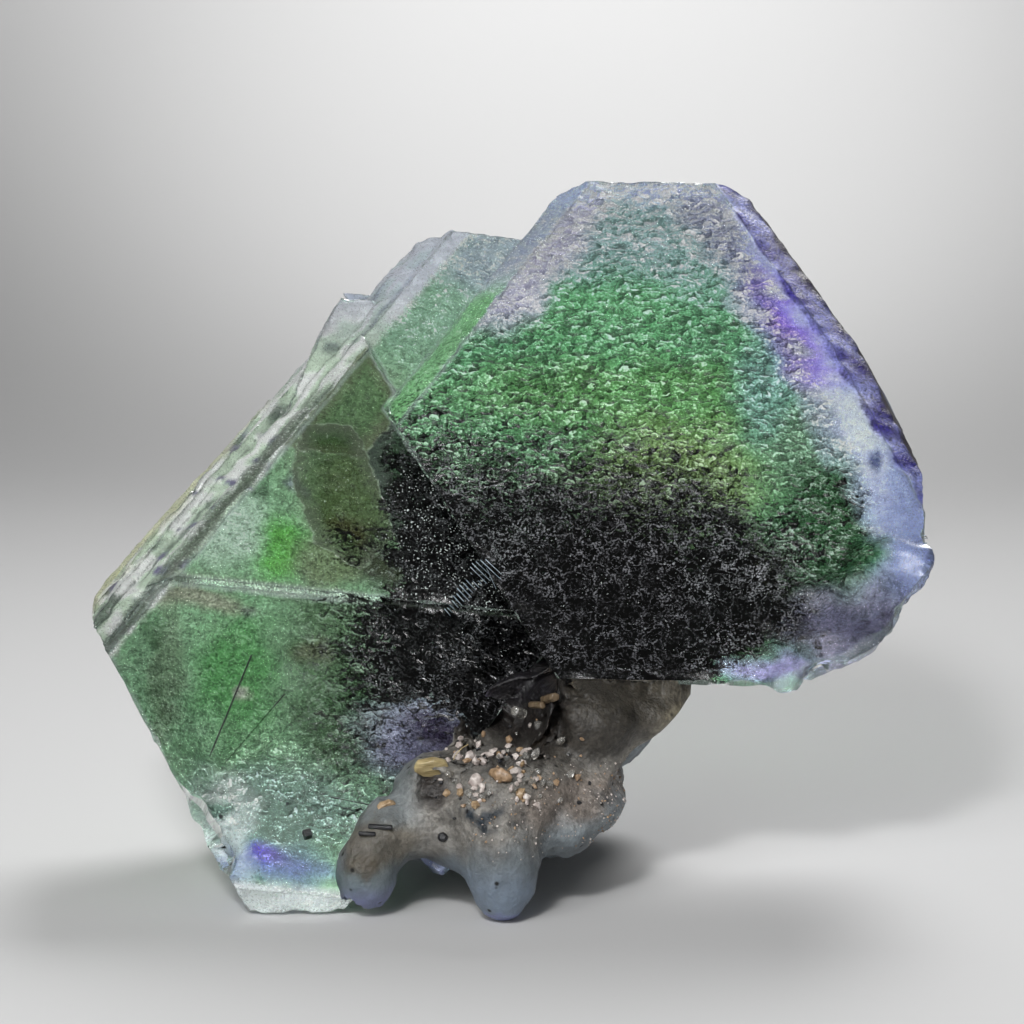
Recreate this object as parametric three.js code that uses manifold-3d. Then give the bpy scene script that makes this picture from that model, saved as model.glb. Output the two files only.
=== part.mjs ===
// Fluorite crystal specimen: two octahedral fluorite crystals grown together on a knobbly
// milky matrix, with a few small grains of other minerals seated in the matrix.
// Millimetres, +Z up.  X runs along the width, -Y is the display side, and the origin is at
// the middle of the bounding box, on the surface that the specimen stands on.

import * as THREE from 'three';
import { mergeVertices } from 'three/addons/utils/BufferGeometryUtils.js';
import Module from 'manifold-3d';

const wasm = await Module();
wasm.setup();

// ---- Driving dimensions ------------------------------------------------------------------

const GAP = 0.3;                 // clearance between pieces that touch

// Where each crystal stands: a point on its display face, and the turns that bring the
// local frame (Z out of the display face, X along its top edge) to where the crystal is.
const RIGHT = { at: [8.68, 5.72, 24.12], yaw: -2.0, tip: 46.6, roll: -1.0 };
const LEFT = { at: [-12.43, 1.5, 17.3], yaw: 10.2, tip: 48.9, roll: -8.9 };

const RIGHT_THICKNESS = 12;      // display face to the parallel face behind it
const LEFT_THICKNESS = 14.5;

// Angles from the display face's normal to the other faces of a cubic crystal.
const BEVEL = 35.26;             // dodecahedron face, cuts the edge between two octahedral faces
const SHELVING = 70.53;          // octahedral face that slopes away outwards
const UNDERCUT = 109.47;         // octahedral face that slopes back under the display face
const CUBE = 54.74;              // cube face, trims a sharp edge of the display face
const BACK_CUBE = 125.26;        // cube face, trims a sharp edge of the back
const BACK_BEVEL = 144.74;       // dodecahedron face round the back

// Which way a face looks, in degrees around the display face's normal.
const TOP = 90;
const UPPER_LEFT = 150;
const LOWER_LEFT = -150;
const BOTTOM = -90;
const LOWER_RIGHT = -30;
const UPPER_RIGHT = 30;

const STEP_START = -6;           // how far behind the display face the back's growth steps begin
const LOBE_DETAIL = 4;           // facets of the matrix's lobes
const CHIP_DETAIL = 9;           // facets of a shell-shaped chip
const FLAKE_SIDES = 7;
const ROD_SIDES = 6;
const BIG = 160;                 // larger than anything here

// ---- Solids ------------------------------------------------------------------------------

const OUT = new THREE.Vector3(0, 0, 1);

function solidOf(geometry) {
  const bare = geometry.clone();
  for (const name of ['normal', 'uv']) bare.deleteAttribute(name);
  const merged = mergeVertices(bare, 1e-5);
  return new wasm.Manifold(new wasm.Mesh({
    numProp: 3,
    vertProperties: new Float32Array(merged.attributes.position.array),
    triVerts: new Uint32Array(merged.index.array),
  }));
}

function geometryOf(solid) {
  const mesh = solid.getMesh();
  const geometry = new THREE.BufferGeometry();
  const positions = new Float32Array(mesh.vertProperties);
  geometry.setAttribute('position', new THREE.BufferAttribute(positions, 3));
  geometry.setIndex(new THREE.BufferAttribute(new Uint32Array(mesh.triVerts), 1));
  geometry.computeVertexNormals();
  return geometry;
}

// Everything on the outer side of a plane that faces `normal` and passes through `point`.
function beyond(normal, point) {
  const facing = new THREE.Vector3(...normal).normalize();
  const waste = new THREE.BoxGeometry(BIG, BIG, BIG).translate(0, 0, BIG / 2);
  waste.applyQuaternion(new THREE.Quaternion().setFromUnitVectors(OUT, facing));
  waste.translate(...point);
  return solidOf(waste);
}

function moved(point, normal, distance) {
  const step = new THREE.Vector3(...normal).normalize().multiplyScalar(distance);
  return new THREE.Vector3(...point).add(step).toArray();
}

// ---- Crystal faces -----------------------------------------------------------------------

function frameOf({ at, yaw, tip, roll }) {
  const radians = THREE.MathUtils.degToRad;
  const turn = new THREE.Matrix4().makeRotationZ(radians(yaw));
  turn.multiply(new THREE.Matrix4().makeRotationX(radians(tip)));
  turn.multiply(new THREE.Matrix4().makeRotationZ(radians(roll)));
  return turn.setPosition(...at);
}

// A face is given by its angle from the display face's normal, the way it looks (degrees
// around that normal, 0 along local X) and its reach: how far out from the crystal's local
// origin it meets the plane of the display face.
function face(angle, looks, reach) {
  const tilt = THREE.MathUtils.degToRad(angle);
  const turn = THREE.MathUtils.degToRad(looks);
  const flat = Math.sin(tilt);
  const normal = [flat * Math.cos(turn), flat * Math.sin(turn), Math.cos(tilt)];
  return { normal, distance: reach * flat };
}

const level = (height) => ({ normal: [0, 0, 1], distance: height });
const back = (thickness) => ({ normal: [0, 0, -1], distance: thickness });

// A shell-shaped hollow, in the crystal's frame.
function chip({ at, radius }, grown) {
  return solidOf(new THREE.IcosahedronGeometry(radius - grown, CHIP_DETAIL).translate(...at));
}

// A crystal: a block cut down by its faces, each face moved out by `grown`.
function crystal(site, faces, chips, grown) {
  let body = solidOf(new THREE.BoxGeometry(BIG, BIG, BIG));
  for (const { normal, distance } of faces) {
    body = body.subtract(beyond(normal, moved([0, 0, 0], normal, distance + grown)));
  }
  for (const each of chips) body = body.subtract(chip(each, grown));
  const geometry = geometryOf(body).applyMatrix4(frameOf(site));
  return solidOf(geometry);
}

// ---- Fluorite ----------------------------------------------------------------------------

// The right crystal: one big six-sided display face, bevelled along both upper sides.
const RIGHT_FACES = [
  level(0),
  back(RIGHT_THICKNESS),
  face(UNDERCUT, TOP, 18.6),          // behind the top edge
  face(CUBE, TOP, 18.3),
  face(BEVEL, UPPER_LEFT, 13.27),     // strip down the upper left side
  face(SHELVING, UPPER_LEFT, 14.6),
  face(BEVEL, UPPER_RIGHT, 11.4),     // strip down the upper right side, bent half way down
  face(BEVEL, 24, 11.3),
  face(SHELVING, UPPER_RIGHT, 12.7),
  face(SHELVING, 22, 12.45),
  face(UNDERCUT, LOWER_LEFT, 13.3),   // stands over the left crystal
  face(97, 0, 14.7),                  // broken right-hand end, three rough facets
  face(108, -26, 17.1),
  face(120, -50, 18.3),
  face(130, BOTTOM, 17.1),            // broken underside, nearly level
  face(BACK_CUBE, UPPER_RIGHT, 23.6),
  face(BACK_BEVEL, TOP, 30.0),
  face(BACK_BEVEL, -15, 30.0),
];
// A raised growth step on the back of the right crystal.
const RIGHT_BACK_STEP = [
  level(STEP_START),
  back(RIGHT_THICKNESS + 1),
  face(UNDERCUT, TOP, 16.4),
  face(SHELVING, UPPER_RIGHT, 8.2),
  face(108, -26, 15.3),
  face(130, BOTTOM, 14.6),
  face(UNDERCUT, LOWER_LEFT, 12),
];
// Shell-shaped chips out of the broken end: centre in the crystal's frame, and radius.
const RIGHT_CHIPS = [
  { at: [9.9, -18.3, -0.4], radius: 3.0 },
  { at: [16.9, -8.6, -3.6], radius: 4.2 },
  { at: [13.6, -17.4, -5.0], radius: 4.6 },
];

// The left crystal: a base block, and growth layers that stand on it in steps.
const LEFT_SIDES = [
  back(LEFT_THICKNESS),
  face(SHELVING, UPPER_RIGHT, 23),
  face(UNDERCUT, LOWER_LEFT, 11.95),
  face(90, 180, 10.6),
  face(SHELVING, BOTTOM, 20.7),
  face(UNDERCUT, LOWER_RIGHT, 14.9),
  face(BACK_CUBE, UPPER_RIGHT, 29.5),
  face(BACK_CUBE, UPPER_LEFT, 20.3),
  face(BACK_BEVEL, TOP, 39.0),
  face(BACK_BEVEL, LOWER_LEFT, 26.0),
];
const LEFT_LAYERS = [
  [level(-0.8), face(UNDERCUT, TOP, 25.3), face(BEVEL, UPPER_LEFT, 4.3),
    face(SHELVING, UPPER_LEFT, 6.3)],
  [level(-0.4), face(UNDERCUT, TOP, 8), face(BEVEL, UPPER_LEFT, 4.2),
    face(SHELVING, UPPER_LEFT, 5.6)],
  [level(0), face(UNDERCUT, TOP, 18), face(SHELVING, UPPER_RIGHT, 10.8), face(SHELVING, BOTTOM, 1.8),
    face(BEVEL, UPPER_LEFT, 4.5), face(SHELVING, UPPER_LEFT, 5.4)],
  [level(-1.7), face(UNDERCUT, TOP, 20.4), face(SHELVING, UPPER_LEFT, 6.6)],
  [level(-1.4), face(UNDERCUT, TOP, 20.2), face(81, 162, 4.15)],
  [level(-2.6), face(UNDERCUT, TOP, 13.5), face(SHELVING, UPPER_LEFT, 6.95)],
];
// Raised growth steps on the back of the left crystal.
const LEFT_BACK_STEPS = [
  [level(STEP_START), back(LEFT_THICKNESS + 0.9), face(UNDERCUT, TOP, 22.5),
    face(SHELVING, UPPER_LEFT, 1.0), face(UNDERCUT, LOWER_LEFT, 9),
    face(SHELVING, UPPER_RIGHT, 12), face(SHELVING, BOTTOM, 8),
    face(UNDERCUT, LOWER_RIGHT, 14)],
  [level(STEP_START), back(LEFT_THICKNESS + 1.7), face(UNDERCUT, TOP, 20.6),
    face(SHELVING, UPPER_LEFT, -1.6), face(UNDERCUT, LOWER_LEFT, 7),
    face(SHELVING, UPPER_RIGHT, 7.5), face(SHELVING, BOTTOM, 3),
    face(UNDERCUT, LOWER_RIGHT, 12)],
];
// Chips along the foot of the left crystal.
const LEFT_CHIPS = [
  { at: [-4.4, -19.6, 0.6], radius: 2.2 },
  { at: [0.6, -23.4, 1.0], radius: 2.3 },
  { at: [5.4, -22.6, 1.2], radius: 2.0 },
];
const LEFT_UNDERSIDE = { normal: [0.0, 0.12, -1], point: [-10, -12.6, 0] };

function fluorite(grown) {
  let right = crystal(RIGHT, RIGHT_FACES, RIGHT_CHIPS, grown);
  right = right.add(crystal(RIGHT, RIGHT_BACK_STEP, RIGHT_CHIPS, grown));
  let left = crystal(LEFT, [...LEFT_SIDES, ...LEFT_LAYERS[0]], LEFT_CHIPS, grown);
  for (const layer of LEFT_LAYERS.slice(1)) {
    left = left.add(crystal(LEFT, [...LEFT_SIDES, ...layer], LEFT_CHIPS, grown));
  }
  for (const step of LEFT_BACK_STEPS) {
    left = left.add(crystal(LEFT, step, LEFT_CHIPS, grown));
  }
  left = left.subtract(beyond(LEFT_UNDERSIDE.normal,
    moved(LEFT_UNDERSIDE.point, LEFT_UNDERSIDE.normal, grown)));
  return right.add(left);
}

// ---- Matrix ------------------------------------------------------------------------------

// Rounded lobes: centre and radii.
const LOBES = [
  { at: [-0.5, -12.4, 3.15], size: [2.1, 2.2, 3.25] },    // hanging drop that touches down
  { at: [-0.6, -10.5, 5.7], size: [2.9, 3.4, 2.6] },      // root of the drop
  { at: [4.0, -7.0, 5.4], size: [2.2, 3.6, 1.9] },        // lower right lobes
  { at: [4.6, -5.0, 6.9], size: [1.9, 3.5, 1.9] },
  { at: [2.5, -8.6, 4.4], size: [2.2, 3.0, 1.7] },
  { at: [7.5, -3.0, 9.8], size: [2.9, 4.5, 2.1] },        // shoulder under the right crystal
  { at: [4.2, -4.0, 9.7], size: [3.6, 5.0, 2.7] },
  { at: [0.5, -7.0, 6.3], size: [3.6, 5.0, 2.7] },
  { at: [-4.0, -8.5, 6.2], size: [2.4, 3.4, 2.1] },       // over the left crystal's corner
  { at: [-5.0, -9.5, 4.3], size: [1.8, 2.6, 1.6] },
  { at: [-3.3, -9.8, 4.0], size: [1.5, 2.4, 1.7] },
  { at: [-6.8, -10.6, 4.3], size: [1.7, 2.2, 1.5] },
  { at: [-7.7, -11.6, 2.4], size: [1.7, 1.8, 2.0] },      // small leg on the left
  { at: [1.0, -1.0, 6.8], size: [5.5, 8.0, 4.7] },        // body under both crystals
  { at: [0.5, 6.0, 6.0], size: [5.8, 9.0, 5.2] },
  { at: [4.5, 11.5, 11.5], size: [5.6, 6.5, 8.5] },       // mass behind the right crystal
  { at: [1.0, 13.5, 3.6], size: [3.6, 4.2, 4.2] },        // foot at the back
];
const HOLLOW = { at: [-0.8, -8.0, 10.4], size: [3.0, 4.2, 2.9] };

function lobe({ at, size }) {
  return solidOf(new THREE.IcosahedronGeometry(1, LOBE_DETAIL).scale(...size).translate(...at));
}

// ---- Small grains seated in the matrix ---------------------------------------------------

// Each maker gives its shape at its own size, or grown on every side for the pocket it sits in.
const flake = (long, wide, thick) => (grown) => new THREE.CylinderGeometry(0.5, 0.5, 1, FLAKE_SIDES)
  .scale(long + 2 * grown, thick + 2 * grown, wide + 2 * grown);
const rod = (long, thick) => (grown) => new THREE.CylinderGeometry(0.5, 0.5, 1, ROD_SIDES)
  .scale(thick + 2 * grown, long + 2 * grown, thick + 2 * grown);
const grain = (x, y, z) => (grown) => new THREE.DodecahedronGeometry(0.5)
  .scale(x + 2 * grown, y + 2 * grown, z + 2 * grown);
// An octahedron's corners lie root three times as far out as its faces.
const octahedron = (x, y, z) => (grown) => {
  const wider = 2 * Math.sqrt(3) * grown;
  return new THREE.OctahedronGeometry(0.5).scale(x + wider, y + wider, z + wider);
};

const MATRIX = { color: 0x9c948c, roughness: 0.6, metalness: 0 };
const MICA = { color: 0xb09a6c, roughness: 0.35, metalness: 0 };
const FELDSPAR = { color: 0xd8d4ca, roughness: 0.5, metalness: 0 };
const SIDERITE = { color: 0xa9794a, roughness: 0.5, metalness: 0 };
const COLUMN = { color: 0x77613f, roughness: 0.45, metalness: 0 };
const QUARTZ = { color: 0xc9c8c2, roughness: 0.12, metalness: 0 };
const TOURMALINE = { color: 0x16181c, roughness: 0.25, metalness: 0 };
const FLUORITE = { color: 0x4f9a6a, roughness: 0.1, metalness: 0 };

// Name, maker, middle, turns about X, Y and Z in degrees, and look.
const GRAINS = [
  ['mica_flake', flake(2.0, 1.2, 0.4), [-4.3, -10.6, 7.95], [28, 8, 12], MICA],
  ['feldspar_grain', grain(1.0, 0.8, 0.9), [-1.9, -12.4, 7.55], [10, 20, 35], FELDSPAR],
  ['siderite_grain', grain(1.5, 0.9, 0.9), [-0.6, -12.45, 7.9], [0, 15, -20], SIDERITE],
  ['siderite_flake', flake(1.3, 0.8, 0.35), [-6.8, -11.0, 5.8], [40, -30, 20], SIDERITE],
  ['brown_column_1', rod(1.5, 0.5), [2.05, -6.9, 11.0], [-18, 0, 24], COLUMN],
  ['brown_column_2', rod(1.2, 0.4), [1.35, -6.2, 10.5], [-10, 0, 34], COLUMN],
  ['quartz_grain', rod(1.1, 0.6), [0.4, -4.7, 9.8], [-20, 0, -28], QUARTZ],
  ['tourmaline_rod_1', rod(1.3, 0.3), [-7.0, -12.5, 5.1], [0, 0, 76], TOURMALINE],
  ['tourmaline_rod_2', rod(0.9, 0.26), [-7.7, -12.6, 4.75], [0, 0, 80], TOURMALINE],
  ['tourmaline_grain', grain(0.6, 0.5, 0.6), [-3.7, -12.1, 4.45], [20, 10, 0], TOURMALINE],
  ['fluorite_tip', octahedron(2.5, 2.2, 2.2), [-3.9, -9.4, 2.6], [35, 20, 10], FLUORITE],
];

function seated(make, at, turn) {
  const radians = turn.map((degrees) => THREE.MathUtils.degToRad(degrees));
  const place = new THREE.Matrix4().makeRotationFromEuler(new THREE.Euler(...radians));
  return (grown) => solidOf(make(grown).applyMatrix4(place).translate(...at));
}

function matrixBody() {
  let body = lobe(LOBES[0]);
  for (const next of LOBES.slice(1)) body = body.add(lobe(next));
  body = body.subtract(lobe(HOLLOW));
  body = body.subtract(beyond([0, 0, -1], [0, 0, 0]));
  for (const [, make, at, turn] of GRAINS) body = body.subtract(seated(make, at, turn)(GAP));
  return body.subtract(fluorite(GAP));
}

// ---- The specimen ------------------------------------------------------------------------

const specimen = new THREE.Group();

function addPiece(name, solid, look) {
  const piece = new THREE.Mesh(geometryOf(solid), new THREE.MeshStandardMaterial(look));
  piece.name = name;
  specimen.add(piece);
}

addPiece('fluorite_crystals', fluorite(0), FLUORITE);
addPiece('matrix', matrixBody(), MATRIX);
for (const [name, make, at, turn, look] of GRAINS) addPiece(name, seated(make, at, turn)(0), look);

// The origin goes to the middle of the bounding box, on the surface that it stands on.
const box = new THREE.Box3().setFromObject(specimen);
const middle = box.getCenter(new THREE.Vector3());
specimen.position.set(-middle.x, -middle.y, -box.min.z);

export default specimen;
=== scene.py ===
# %% [markdown]
# # A fluorite specimen
# Two fluorite crystals have grown together on a knobbly, milky crust. The crystals are clear
# glass-like blocks with flat faces, coloured in zones: emerald green inside, lilac round the
# rims. This notebook dresses the measured solids of the specimen in their real finishes.
#
# The first cell loads the solids and prints their size. Their size is kept.

import math
import random

import bmesh
import bpy
import numpy as np
from mathutils import Matrix, Vector, noise
from mathutils.bvhtree import BVHTree
from mathutils.kdtree import KDTree


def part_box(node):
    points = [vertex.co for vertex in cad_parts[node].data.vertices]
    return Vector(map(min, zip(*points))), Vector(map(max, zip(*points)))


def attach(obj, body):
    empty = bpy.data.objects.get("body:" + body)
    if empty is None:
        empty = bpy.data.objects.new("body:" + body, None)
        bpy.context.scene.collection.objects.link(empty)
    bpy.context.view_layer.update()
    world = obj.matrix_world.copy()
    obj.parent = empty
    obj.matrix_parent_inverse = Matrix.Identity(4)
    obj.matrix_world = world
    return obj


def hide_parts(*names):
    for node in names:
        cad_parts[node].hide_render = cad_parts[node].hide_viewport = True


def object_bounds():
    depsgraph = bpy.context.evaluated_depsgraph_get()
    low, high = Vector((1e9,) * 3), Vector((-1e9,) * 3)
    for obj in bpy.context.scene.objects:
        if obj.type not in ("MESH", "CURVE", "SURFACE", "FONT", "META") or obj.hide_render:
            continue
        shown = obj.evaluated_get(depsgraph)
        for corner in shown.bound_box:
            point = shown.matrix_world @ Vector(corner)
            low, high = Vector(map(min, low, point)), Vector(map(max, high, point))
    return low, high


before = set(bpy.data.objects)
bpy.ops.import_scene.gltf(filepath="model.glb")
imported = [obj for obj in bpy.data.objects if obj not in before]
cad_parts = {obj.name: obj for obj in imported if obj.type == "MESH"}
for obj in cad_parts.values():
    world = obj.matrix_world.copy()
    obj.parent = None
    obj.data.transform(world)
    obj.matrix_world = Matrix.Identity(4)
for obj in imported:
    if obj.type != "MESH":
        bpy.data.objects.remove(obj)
cad_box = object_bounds()
MM = 0.001
low, high = cad_box
print("solids measure", [round(side / MM, 1) for side in high - low], "mm")

# %% [markdown]
# ## The camera
# The specimen is looked at from straight in front and a little above, through a long lens
# from a quarter of a metre away, as small minerals are. A long lens keeps the faces' true
# proportions.

# %% Camera
CAMERA_RISE = math.radians(8.0)
CAMERA_AWAY = 237 * MM

scene = bpy.context.scene
middle = (low + high) / 2
target = middle + Vector((0.67, -5.59, 1.5)) * MM
lens = bpy.data.cameras.new("camera")
lens.lens = 150
lens.sensor_width = 36
lens.clip_start = 0.01
camera = bpy.data.objects.new("camera", lens)
scene.collection.objects.link(camera)
camera.location = target + CAMERA_AWAY * Vector((0, -math.cos(CAMERA_RISE), math.sin(CAMERA_RISE)))
camera.rotation_euler = (math.radians(90) - CAMERA_RISE, 0, 0)
scene.camera = camera
print("camera at", [round(part / MM) for part in camera.location], "mm")

# %% [markdown]
# ## Materials are recipes of nodes
# Each material below is a small tree of nodes. One helper adds a node, sets its options and
# fills its sockets, with a value or with a link from another node's output. Colours are
# written as the usual hex codes, and one function turns them to the linear light values that
# the renderer works in.

# %% Helpers for materials
def linear(code):
    """A hex colour such as "7fa08c" as linear red, green, blue and alpha."""
    parts = [int(code[at:at + 2], 16) / 255 for at in (0, 2, 4)]
    return tuple(p / 12.92 if p <= 0.04045 else ((p + 0.055) / 1.055) ** 2.4 for p in parts) + (1.0,)


def node(tree, kind, inputs=(), **options):
    """Adds one node. `inputs` maps a socket's name or number to a value, a socket or a node."""
    new = tree.nodes.new("ShaderNode" + kind)
    for name, value in options.items():
        setattr(new, name, value)
    for name, value in dict(inputs).items():
        if isinstance(value, bpy.types.Node):
            value = next(socket for socket in value.outputs if socket.enabled)
        if isinstance(value, bpy.types.NodeSocket):
            tree.links.new(value, new.inputs[name])
        else:
            new.inputs[name].default_value = value
    return new


def new_material(name):
    material = bpy.data.materials.new(name)
    material.use_nodes = True
    tree = material.node_tree
    shader = tree.nodes["Principled BSDF"]
    return material, tree, shader

# %% [markdown]
# ## Floor and light
# A sheet of pale card lies under the specimen and curves up behind it, so there is no edge
# in view. It is spun from a short profile. Two spots light a soft pool and a glow on the card
# behind the specimen, and the crystals are seen mostly by that light, which comes through
# them. A broad lamp in front lifts the crust, and a small one puts glints on the hillocks.

# %% Floor that curves up into a backdrop
FLOOR_HALF = 700 * MM
FLOOR_BACK = 150 * MM
CURVE_RADIUS = 250 * MM
BACKDROP_RISE = (0, 20 * MM, 600 * MM)

sweep = bmesh.new()
front_edge = [sweep.verts.new((side * FLOOR_HALF, -FLOOR_HALF, 0)) for side in (-1, 1)]
run = sweep.edges.new(front_edge)
flat = bmesh.ops.extrude_edge_only(sweep, edges=[run])
ahead = [v for v in flat["geom"] if isinstance(v, bmesh.types.BMVert)]
bmesh.ops.translate(sweep, verts=ahead, vec=(0, FLOOR_HALF + FLOOR_BACK, 0))
edge = [e for e in flat["geom"] if isinstance(e, bmesh.types.BMEdge) and all(v in ahead for v in e.verts)]
curved = bmesh.ops.spin(sweep, geom=edge + ahead, cent=(0, FLOOR_BACK, CURVE_RADIUS), axis=(1, 0, 0),
                        angle=math.radians(88), steps=24, use_merge=False, use_duplicate=False)
end = [e for e in curved["geom_last"] if isinstance(e, bmesh.types.BMEdge)]
rise = bmesh.ops.extrude_edge_only(sweep, edges=end)
bmesh.ops.translate(sweep, verts=[v for v in rise["geom"] if isinstance(v, bmesh.types.BMVert)],
                    vec=BACKDROP_RISE)
bmesh.ops.recalc_face_normals(sweep, faces=sweep.faces[:])
sheet = bpy.data.meshes.new("floor")
sweep.to_mesh(sheet)
sweep.free()
for polygon in sheet.polygons:
    polygon.use_smooth = True
floor = bpy.data.objects.new("floor", sheet)
scene.collection.objects.link(floor)
card, _, card_shader = new_material("pale card")
card_shader.inputs["Base Color"].default_value = linear("c8c8c8")
card_shader.inputs["Roughness"].default_value = 0.9
sheet.materials.append(card)
print("floor of", len(sheet.polygons), "faces")

# %% Lights
def hang(light, place, aim):
    """Puts a light in the scene at `place`, pointing to `aim`."""
    lamp = bpy.data.objects.new(light.name, light)
    lamp.location = place
    lamp.rotation_euler = (Vector(aim) - Vector(place)).to_track_quat("-Z", "Y").to_euler()
    scene.collection.objects.link(lamp)


def area_lamp(name, place, aim, size, power, spread):
    """A soft lamp of `size` metres at `place` that points to `aim`, in a beam `spread` degrees wide."""
    light = bpy.data.lights.new(name, "AREA")
    light.shape = "DISK"
    light.size = size
    light.energy = power
    light.spread = math.radians(spread)
    hang(light, place, aim)


def spot_lamp(name, place, aim, size, power, cone):
    """A spot of `size` metres at `place` that lights a soft round `cone` degrees wide round `aim`."""
    light = bpy.data.lights.new(name, "SPOT")
    light.energy = power
    light.spot_size = math.radians(cone)
    light.spot_blend = 1.0
    light.shadow_soft_size = size
    hang(light, place, aim)


spot_lamp("pool of light on the card", (0.01, -0.06, 0.19), (0.012, 0.26, 0.03), 0.03, 5.4, 27)
spot_lamp("glow high on the card", (0.0, 0.02, 0.46), (0.0, 0.42, 0.20), 0.05, 11.0, 62)
area_lamp("back light", (0.06, 0.31, 0.24), middle, 0.16, 0.12, 50)
area_lamp("front light", (-0.15, -0.36, 0.22), middle, 0.30, 0.50, 120)
area_lamp("small lamp for the glints", (-0.06, -0.27, 0.21), middle, 0.05, 0.06, 60)
world = bpy.data.worlds.new("studio")
scene.world = world
world.use_nodes = True
world.node_tree.nodes["Background"].inputs["Color"].default_value = linear("ffffff")
world.node_tree.nodes["Background"].inputs["Strength"].default_value = 0.12
scene.view_settings.view_transform = "Standard"

# %% [markdown]
# ## The crystals' own axes
# Everything on a crystal follows its own directions: growth steps, colour zones and surface
# patterns. So each crystal gets its own axes. Z stands straight out of its big front face,
# X runs along the top edge of that face, and the origin is near the middle of the face.

# %% Axes of the two crystals
def axes_of(at, yaw, tip, roll):
    """Axes with their origin `at` mm, turned by three angles in degrees: about Z, X and Z again."""
    turn = Matrix.Rotation(math.radians(yaw), 4, "Z")
    turn = turn @ Matrix.Rotation(math.radians(tip), 4, "X")
    turn = turn @ Matrix.Rotation(math.radians(roll), 4, "Z")
    return Matrix.Translation(Vector(at) * MM) @ turn


RIGHT_AXES = axes_of((9.351, 0.130, 24.12), -2.0, 46.6, -1.0)
LEFT_AXES = axes_of((-11.759, -4.090, 17.3), 10.2, 48.9, -8.9)


def in_axes(points, axes):
    """Points (n, 3) in metres, seen from a crystal: millimetres along its own axes."""
    turn = np.array(axes.to_3x3())
    return (points - np.array(axes.translation)) @ turn / MM

# %% [markdown]
# ## The fluorite's shape
# The measured solid gives every face its place. A copy of it is cut along a fine lattice and
# each small face is split again, so that the flat faces can take growth steps and the edges
# can take wear. The lattice cuts keep all the flat faces flat and all the edges sharp, which
# a voxel remesh would round off.

# %% Copy and cut the crystals
LATTICE = 1.3 * MM


def copy_of(name):
    """A merged copy of a measured solid, with its flat faces whole."""
    solid = bmesh.new()
    solid.from_mesh(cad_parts[name].data)
    bmesh.ops.remove_doubles(solid, verts=solid.verts[:], dist=0.002 * MM)
    bmesh.ops.dissolve_limit(solid, angle_limit=math.radians(1.5), verts=solid.verts[:],
                             edges=solid.edges[:])
    return solid


def cut_lattice(solid, axes, pitch):
    """Cuts a solid along planes `pitch` metres apart, square to each of the axes."""
    spots = in_axes(np.array([v.co for v in solid.verts]), axes) * MM
    for which in range(3):
        direction = axes.to_3x3().col[which]
        first = math.ceil(spots[:, which].min() / pitch)
        last = math.floor(spots[:, which].max() / pitch)
        for step in range(first, last + 1):
            everything = solid.verts[:] + solid.edges[:] + solid.faces[:]
            bmesh.ops.bisect_plane(solid, geom=everything, dist=0.0001 * MM,
                                   plane_co=axes.translation + direction * step * pitch,
                                   plane_no=direction)


def mesh_object(name, solid):
    mesh = bpy.data.meshes.new(name)
    solid.to_mesh(mesh)
    solid.free()
    thing = bpy.data.objects.new(name, mesh)
    scene.collection.objects.link(thing)
    return thing


def finished(thing):
    """The object's mesh with its modifiers carried out."""
    evaluated = thing.evaluated_get(bpy.context.evaluated_depsgraph_get())
    mesh = bpy.data.meshes.new_from_object(evaluated)
    thing.modifiers.clear()
    thing.data = mesh
    return mesh


solid = copy_of("fluorite_crystals")
cut_lattice(solid, RIGHT_AXES, LATTICE)
print("lattice of", len(solid.faces), "faces")
fluorite = mesh_object("fluorite", solid)
split = fluorite.modifiers.new("split", "SUBSURF")
split.subdivision_type = "SIMPLE"
split.levels = split.render_levels = 2
crystal_mesh = finished(fluorite)
print("crystals now have", len(crystal_mesh.polygons), "faces,", len(crystal_mesh.vertices), "vertices")

# %% [markdown]
# ## Wear and growth on the faces
# No crystal face is a perfect plane. Its edges are nibbled, its growth stopped in low steps,
# and where the specimen broke from the rock it left shell-shaped lumps. Each of these is a
# small move of the points along their normals, sized in millimetres and steered by smooth
# noise, which gives the same result each time.

# %% Helpers for working on all the points at once
def soft(value, start, end):
    """0 before start, 1 after end, and a smooth rise between."""
    share = np.clip((value - start) / (end - start), 0, 1)
    return share * share * (3 - 2 * share)


def noise_at(points, size, seed=0.0):
    """Smooth noise from -1 to 1 at points in millimetres; `size` is its grain in mm."""
    shift = Vector((seed, seed * 1.7, -seed))
    return np.array([noise.noise(Vector(p) / size + shift) for p in points])


def cells_at(points, size, seed=0.0):
    """Distance in mm from each point to the nearest and second nearest of scattered seeds."""
    shift = Vector((seed, seed * 1.7, -seed))
    found = [noise.voronoi(Vector(p) / size + shift)[0] for p in points]
    return np.array(found)[:, :2] * size


def points_of(mesh):
    flat = np.empty(len(mesh.vertices) * 3)
    mesh.vertices.foreach_get("co", flat)
    return flat.reshape(-1, 3)


def normals_of(mesh):
    flat = np.empty(len(mesh.vertices) * 3, np.float32)
    mesh.vertex_normals.foreach_get("vector", flat)
    return flat.reshape(-1, 3).astype(float)


# %% Which crystal each point belongs to, and how far it is from an edge
def facing(angle, looks):
    """Unit normal of a face at `angle` from the front face's normal, that looks `looks` round."""
    tilt, turn = math.radians(angle), math.radians(looks)
    return np.array((math.sin(tilt) * math.cos(turn), math.sin(tilt) * math.sin(turn), math.cos(tilt)))


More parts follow.
